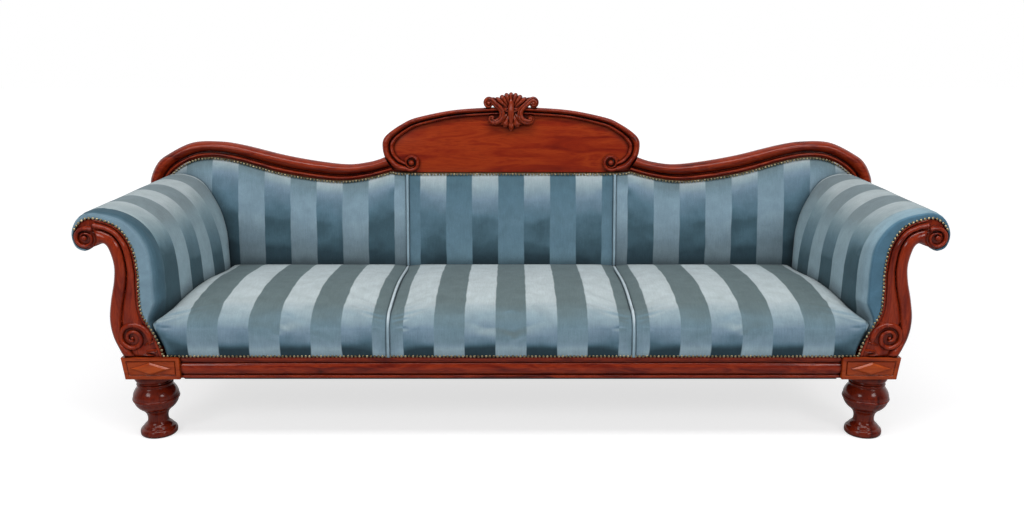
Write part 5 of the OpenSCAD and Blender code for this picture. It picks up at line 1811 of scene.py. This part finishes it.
@dataclass
class ArmUpholstery:
    """The stuffing and cover of a scrolled arm, from the seat up and over the roll."""

    fill: float = 0.85
    border_mm: float = 53.0
    puckers: tuple[float, ...] = (0.585, 0.655, 0.74)

    def build(self) -> None:
        """Make the left arm's cover and its twin."""
        rail_proud = PLAN.top_rail_t - PLAN.post_n

        def depth(v: float, z: float) -> float:
            """Place in Y for a share of the arm's depth at a height."""
            return PLAN.face_y + v * (PLAN.lean_y(z, -rail_proud - 0.3) - PLAN.face_y)

        def spread(v: float) -> float:
            """Share along the depth, with close columns at the front edge."""
            return -0.006 + 1.006 * v ** 1.35

        def face(u: float, v: float) -> Vector:
            """Point of the cover."""
            share = spread(v)
            full = 0.72 + 0.28 * bump_out(-0.008, 0.035, share)
            full *= 1 - 0.94 * SCROLL.low(u) * SCROLL.near(share)
            out = SCROLL.stuffing(u, max(share, 0))
            p = SCROLL.nailed(u) + out * full
            behind = depth(share, p.y) - PLAN.face_y - self.border_mm
            wave = 1.3 * ripple(Vector((p.x, share * 560, p.y)), 80, 5.3) * bump_out(0.0, 0.1, share)
            wave -= 2.0 * math.exp(-(behind / 4.5) ** 2)
            wave -= sum(2.2 * math.exp(-((u - k) / 0.007) ** 2) for k in self.puckers) * arch(-50, 6, behind)
            if out.length > 1e-3:
                p = p + out.normalized() * wave * min(1.0, out.length / 6)
            return stood(p, depth(share, p.y))

        def rest(u: float, v: float) -> Vector:
            """Point of the scroll's own edge, under the stuffing."""
            p = SCROLL.nailed(u)
            return stood(p, depth(spread(v), p.y))

        bm = shaped_grid(110, 82, face)
        lining = set(back_up(bm, rest))
        across, along = share_layers(bm)

        def grip(vert: Vert) -> float:
            """How firmly a point is held."""
            if vert in lining or vert[along] < 0.05 or vert[along] > 0.98 or not 0.02 < vert[across] < 0.97:
                return 1.0
            return max(0.0, 0.5 - vert[along] * 3)

        point_layer(bm, "hold", grip)

        def painted_light_turn_at(vert: Vert) -> float:
            """How far the painted light is shifted away from an upward facing, most of all in front."""
            crown = bump_out(0.5, 0.62, vert[across])
            return -0.3 + 0.28 * crown * bump_out(0.15, 0.5, vert[along]) + 0.14 * bump_out(
                0.1, 0.6, vert[along]) + 0.12 * bump_out(0.12, 0.4, vert[across])

        point_layer(bm, "painted_light_turn", painted_light_turn_at)
        # Painted light and shade for the arm: its own colour ramps by facing, and a border painted darker on top.
        velvet = StripedVelvet(
            "striped_arm_velvet", Axis.Y, middle_mm=PLAN.face_y + self.border_mm + 43 - PLAN.stripe / 2,
            border_mm=self.border_mm,
            shine=((0.0, "#3f5862"), (0.15, "#5f7a86"), (0.3, "#748c95"), (0.45, "#84989f"), (0.6, "#8f9fa4"),
                   (0.8, "#9ca9ad"), (1.0, "#a7b2b5")),
            plain=((0.0, "#90a7b1"), (0.2, "#8ba1aa"), (0.35, "#80959d"), (0.6, "#7a898e"), (1.0, "#758388")))
        left = upholster("left_arm_cover", bm, velvet, "left_arm_pad", 4.0)
        # The right arm gets a copy painted with other light: its border dark by the nails, light further in and lighter
        # on top.
        right_shaded_velvet = replace(velvet, name="striped_right_arm_velvet", border_top_light=1.1, border=(
            (0.0, "#4c7085"), (0.05, "#557789"), (0.12, "#7f99a6"), (0.9, "#8aa2ad"), (1.0, "#7f98a4")))
        upholster_twin(left, "right_arm_cover", right_shaded_velvet, "right_arm_pad")


def extent(bm: Mesh, axis: Axis) -> Pair:
    """The mesh's first and last place along an axis."""
    places = [v.co[axis.value] for v in bm.verts]
    return min(places), max(places)


def thickened(bm: Mesh, thickness: float) -> float:
    """Give a cloth its thickness.

    Args:
        bm: The cloth's mesh, of one layer.
        thickness: The cloth's thickness.

    Returns:
        The layer's area in square metres.
    """
    bmesh.ops.recalc_face_normals(bm, faces=bm.faces[:])
    area = sum(f.calc_area() for f in bm.faces) * MM * MM
    bmesh.ops.solidify(bm, geom=bm.faces[:], thickness=thickness)
    return area


@dataclass
class OutsideCovers:
    """The flat covers that close the sofa: outside back, outside arms and the cloth under the seat."""

    cloth_t: float = 1.6

    def build(self) -> None:
        """Stretch the covers."""
        self.back()
        self.arms()
        self.bottom()

    def back(self) -> None:
        """Stretch the outside back between the rear legs' outer edges and under the top rails."""
        outer = -PLAN.post_x + 2.5
        low = PLAN.up_back(PLAN.rail_low) + PLAN.post_back_n * PLAN.slope + 8

        def front(u: float, v: float) -> Vector:
            """Point of the cloth."""
            x = outer * (2 * u - 1)
            top = NAIL_LINE.height(x) + 11.5
            dish = -0.25 * math.sin(math.pi * u) * math.sin(math.pi * v)
            return Vector((x, PLAN.post_back_n + 0.4 + dish + 0.2, low + v * (top - low)))

        bm = shaped_grid(96, 30, front)
        low, high = extent(bm, Axis.Z)
        area = thickened(bm, self.cloth_t)
        bmesh.ops.translate(bm, vec=(0, PLAN.post_back_n + 0.4 - extent(bm, Axis.Y)[0], 0), verts=bm.verts[:])
        piece = make_piece("outside_back_cloth", bm, StripedVelvet("striped_outside_back_velvet"), PLAN.leaned(),
                           stands_for=("outside_back_cover",), sharp=50)

    def arms(self) -> None:
        """Stretch the outside arms from under the roll down to the side rails."""
        edge = SCROLL.outline(6)
        first = SCROLL.nailed_last * 6 + 3
        outside = edge[first:]
        heel = outside[-1]
        inset = []
        for i, p in enumerate(outside):
            ahead = (outside[min(i + 1, len(outside) - 1)] - outside[max(i - 1, 0)]).normalized()
            inset.append(p + Vector((-ahead.y, ahead.x)) * 1.2)
        inset.append(Vector((heel.x + 1.2, PLAN.rail_low + 0.5)))
        track = through(inset)

        def front(u: float, v: float) -> Vector:
            """Point of the cloth."""
            p = track.at(u)
            start = PLAN.face_y + PLAN.scroll_t if p.y > PLAN.rail_top else PLAN.front_y + PLAN.block_d + 0.4
            return stood(p, start + v * (PLAN.lean_y(p.y, PLAN.post_back_n) - start))

        bm = shaped_grid(72, 24, front)
        area = thickened(bm, self.cloth_t)
        twin = bm.copy()
        velvet = StripedVelvet("striped_outside_arm_velvet", Axis.Y, middle_mm=-330.25)
        for side, mesh in ((Side.LEFT, bm), (Side.RIGHT, twin)):
            piece = make_piece("outside_arm_cloth", mesh, velvet, stands_for=("outside_arm_cover",),
                               sharp=60, side=side)

    def bottom(self) -> None:
        """Stretch the black cloth under the seat."""
        lo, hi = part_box("bottom_cloth")
        bm = bmesh.new()
        shoulder = (PLAN.front_y + PLAN.block_d + 8) * MM
        inner = (PLAN.block_inner_x + 8) * MM
        outline = [(inner, lo.y), (-inner, lo.y), (-inner, shoulder), (hi.x, shoulder), (hi.x, hi.y), (lo.x, hi.y),
                   (lo.x, shoulder), (inner, shoulder)]
        face = bm.faces.new([bm.verts.new((x / MM, y / MM, lo.z / MM)) for x, y in outline])
        area = face.calc_area() * MM * MM
        bmesh.ops.triangulate(bm, faces=[face])
        bmesh.ops.subdivide_edges(bm, edges=bm.edges[:], cuts=6, use_grid_fill=True)
        thickened(bm, 1.2)
        bmesh.ops.translate(bm, vec=(0, 0, lo.z / MM - extent(bm, Axis.Z)[0]), verts=bm.verts[:])
        piece = make_piece("black_bottom_cloth", bm, WovenCloth("black_cotton_cloth", 1.0, "#3a3a3d", "#17171a"),
                           stands_for=("bottom_cloth",), sharp=50)


@dataclass
class Studio:
    """The camera at the photograph's view, a white floor and soft light from above and in front."""

    lens: float = 33.6
    tilt: float = 13.87
    eye: tuple[float, float, float] = (0.003, -2.887, 1.182)
    room_light: float = 0.42
    floor_glow: float = 0.67

    def build(self) -> None:
        """Set up the camera, the floor, the lamps and the world."""
        scene = bpy.context.scene
        scene.view_settings.view_transform = "Standard"
        camera_data = bpy.data.cameras.new("camera")
        camera_data.lens = self.lens
        camera_data.sensor_width = 36.0
        camera = bpy.data.objects.new("camera", camera_data)
        camera.location = self.eye
        camera.rotation_euler = (math.radians(90 - self.tilt), 0.0, 0.0)
        scene.collection.objects.link(camera)
        scene.camera = camera
        self.floor()
        self.lamp("ceiling_softbox", (0.0, -1.3, 3.3), (0.0, 0.0, 0.3), (3.8, 0.8), 66.0)
        self.lamp("left_softbox", (-2.3, -2.9, 2.2), (0.0, 0.0, 0.5), (1.2, 0.9), 28.0)
        self.lamp("right_softbox", (2.3, -2.9, 2.2), (0.0, 0.0, 0.5), (1.2, 0.9), 28.0)
        self.world()

    def seen(self, graph: Graph) -> tuple[Socket, Socket]:
        """Give the socket that is 1 for the camera's rays and the one that is 1 for reflected and clear rays."""
        path = add_node(graph.tree, "LightPath").outputs
        return path["Is Camera Ray"], graph.math("MAXIMUM", path["Is Glossy Ray"], path["Is Transmission Ray"])

    def floor(self) -> None:
        """Lay the white paper floor, which keeps the sofa's soft shadow."""
        bm = bmesh.new()
        bmesh.ops.create_grid(bm, x_segments=1, y_segments=1, size=14.0)
        mesh = bpy.data.meshes.new("paper_floor")
        bm.to_mesh(mesh)
        bm.free()
        floor = bpy.data.objects.new("paper_floor", mesh)
        bpy.context.scene.collection.objects.link(floor)
        material = bpy.data.materials.new("white_paper")
        material.use_nodes = True
        tree = material.node_tree
        graph, shader = Graph(tree), tree.nodes["Principled BSDF"]
        feed(shader, {"Base Color": "#b6b5b6", "Roughness": 0.9})
        direct, mirrored = self.seen(graph)
        spot = graph.spot()
        behind = graph.math("MULTIPLY", mirrored, graph.span(graph.parts(spot)["Y"], (-0.4, 1.0)))
        away = add_node(tree, "VectorMath", {0: spot}, operation="LENGTH").outputs["Value"]
        strength = graph.math("MULTIPLY", graph.math("MAXIMUM", direct, behind),
                              graph.span(away, (1.7, 5.5), (self.floor_glow, 0.85)))
        glow = add_node(tree, "Emission", {"Color": (1, 1, 1, 1), "Strength": strength})
        both = add_node(tree, "AddShader", {0: shader.outputs[0], 1: glow.outputs[0]})
        tree.links.new(both.outputs[0], tree.nodes["Material Output"].inputs["Surface"])
        mesh.materials.append(material)

    def lamp(self, name: str, place: Sequence[float], aim: Sequence[float], size: Pair, power: float) -> None:
        """Hang one soft lamp.

        Args:
            name: The lamp's name.
            place: Where it hangs, in metres.
            aim: The point that it faces.
            size: Its width and height.
            power: Its power in watts.
        """
        data = bpy.data.lights.new(name, "AREA")
        data.shape = "RECTANGLE"
        data.size, data.size_y = size
        data.energy = power
        lamp = bpy.data.objects.new(name, data)
        lamp.location = place
        lamp.rotation_euler = (Vector(aim) - Vector(place)).to_track_quat("-Z", "Y").to_euler()
        bpy.context.scene.collection.objects.link(lamp)

    def world(self) -> None:
        """Light the room evenly, and show it white to the camera and behind the sofa in what reflects it."""
        world = bpy.data.worlds.new("white_room")
        bpy.context.scene.world = world
        world.use_nodes = True
        graph = Graph(world.node_tree)
        direct, mirrored = self.seen(graph)
        behind = graph.span(graph.parts(graph.spot("Generated"))["Y"], (-0.3, 0.3), (0.16, 1.0))
        lit = add_node(graph.tree, "Mix", {0: mirrored, 2: self.room_light, 3: behind}).outputs[0]
        shown = add_node(graph.tree, "Mix", {0: direct, 2: lit, 3: 1.0}).outputs[0]
        feed(graph.tree.nodes["Background"], {"Color": (1, 1, 1, 1), "Strength": shown})


def main() -> None:
    """Build the sofa's pieces in order."""
    logging.basicConfig(level=logging.INFO, format="%(name)s %(message)s")
    Studio().build()
    CarriedTimber().build()
    FrontRail().build()
    for side in Side:
        for kind in (LegBlock, TurnedFoot, ArmFacing, TopRail):
            kind(side).build()
    for kind in (Crest, NailRow, SeatUpholstery, BackUpholstery, ArmUpholstery, OutsideCovers):
        kind().build()


if __name__ == "__main__":
    main()
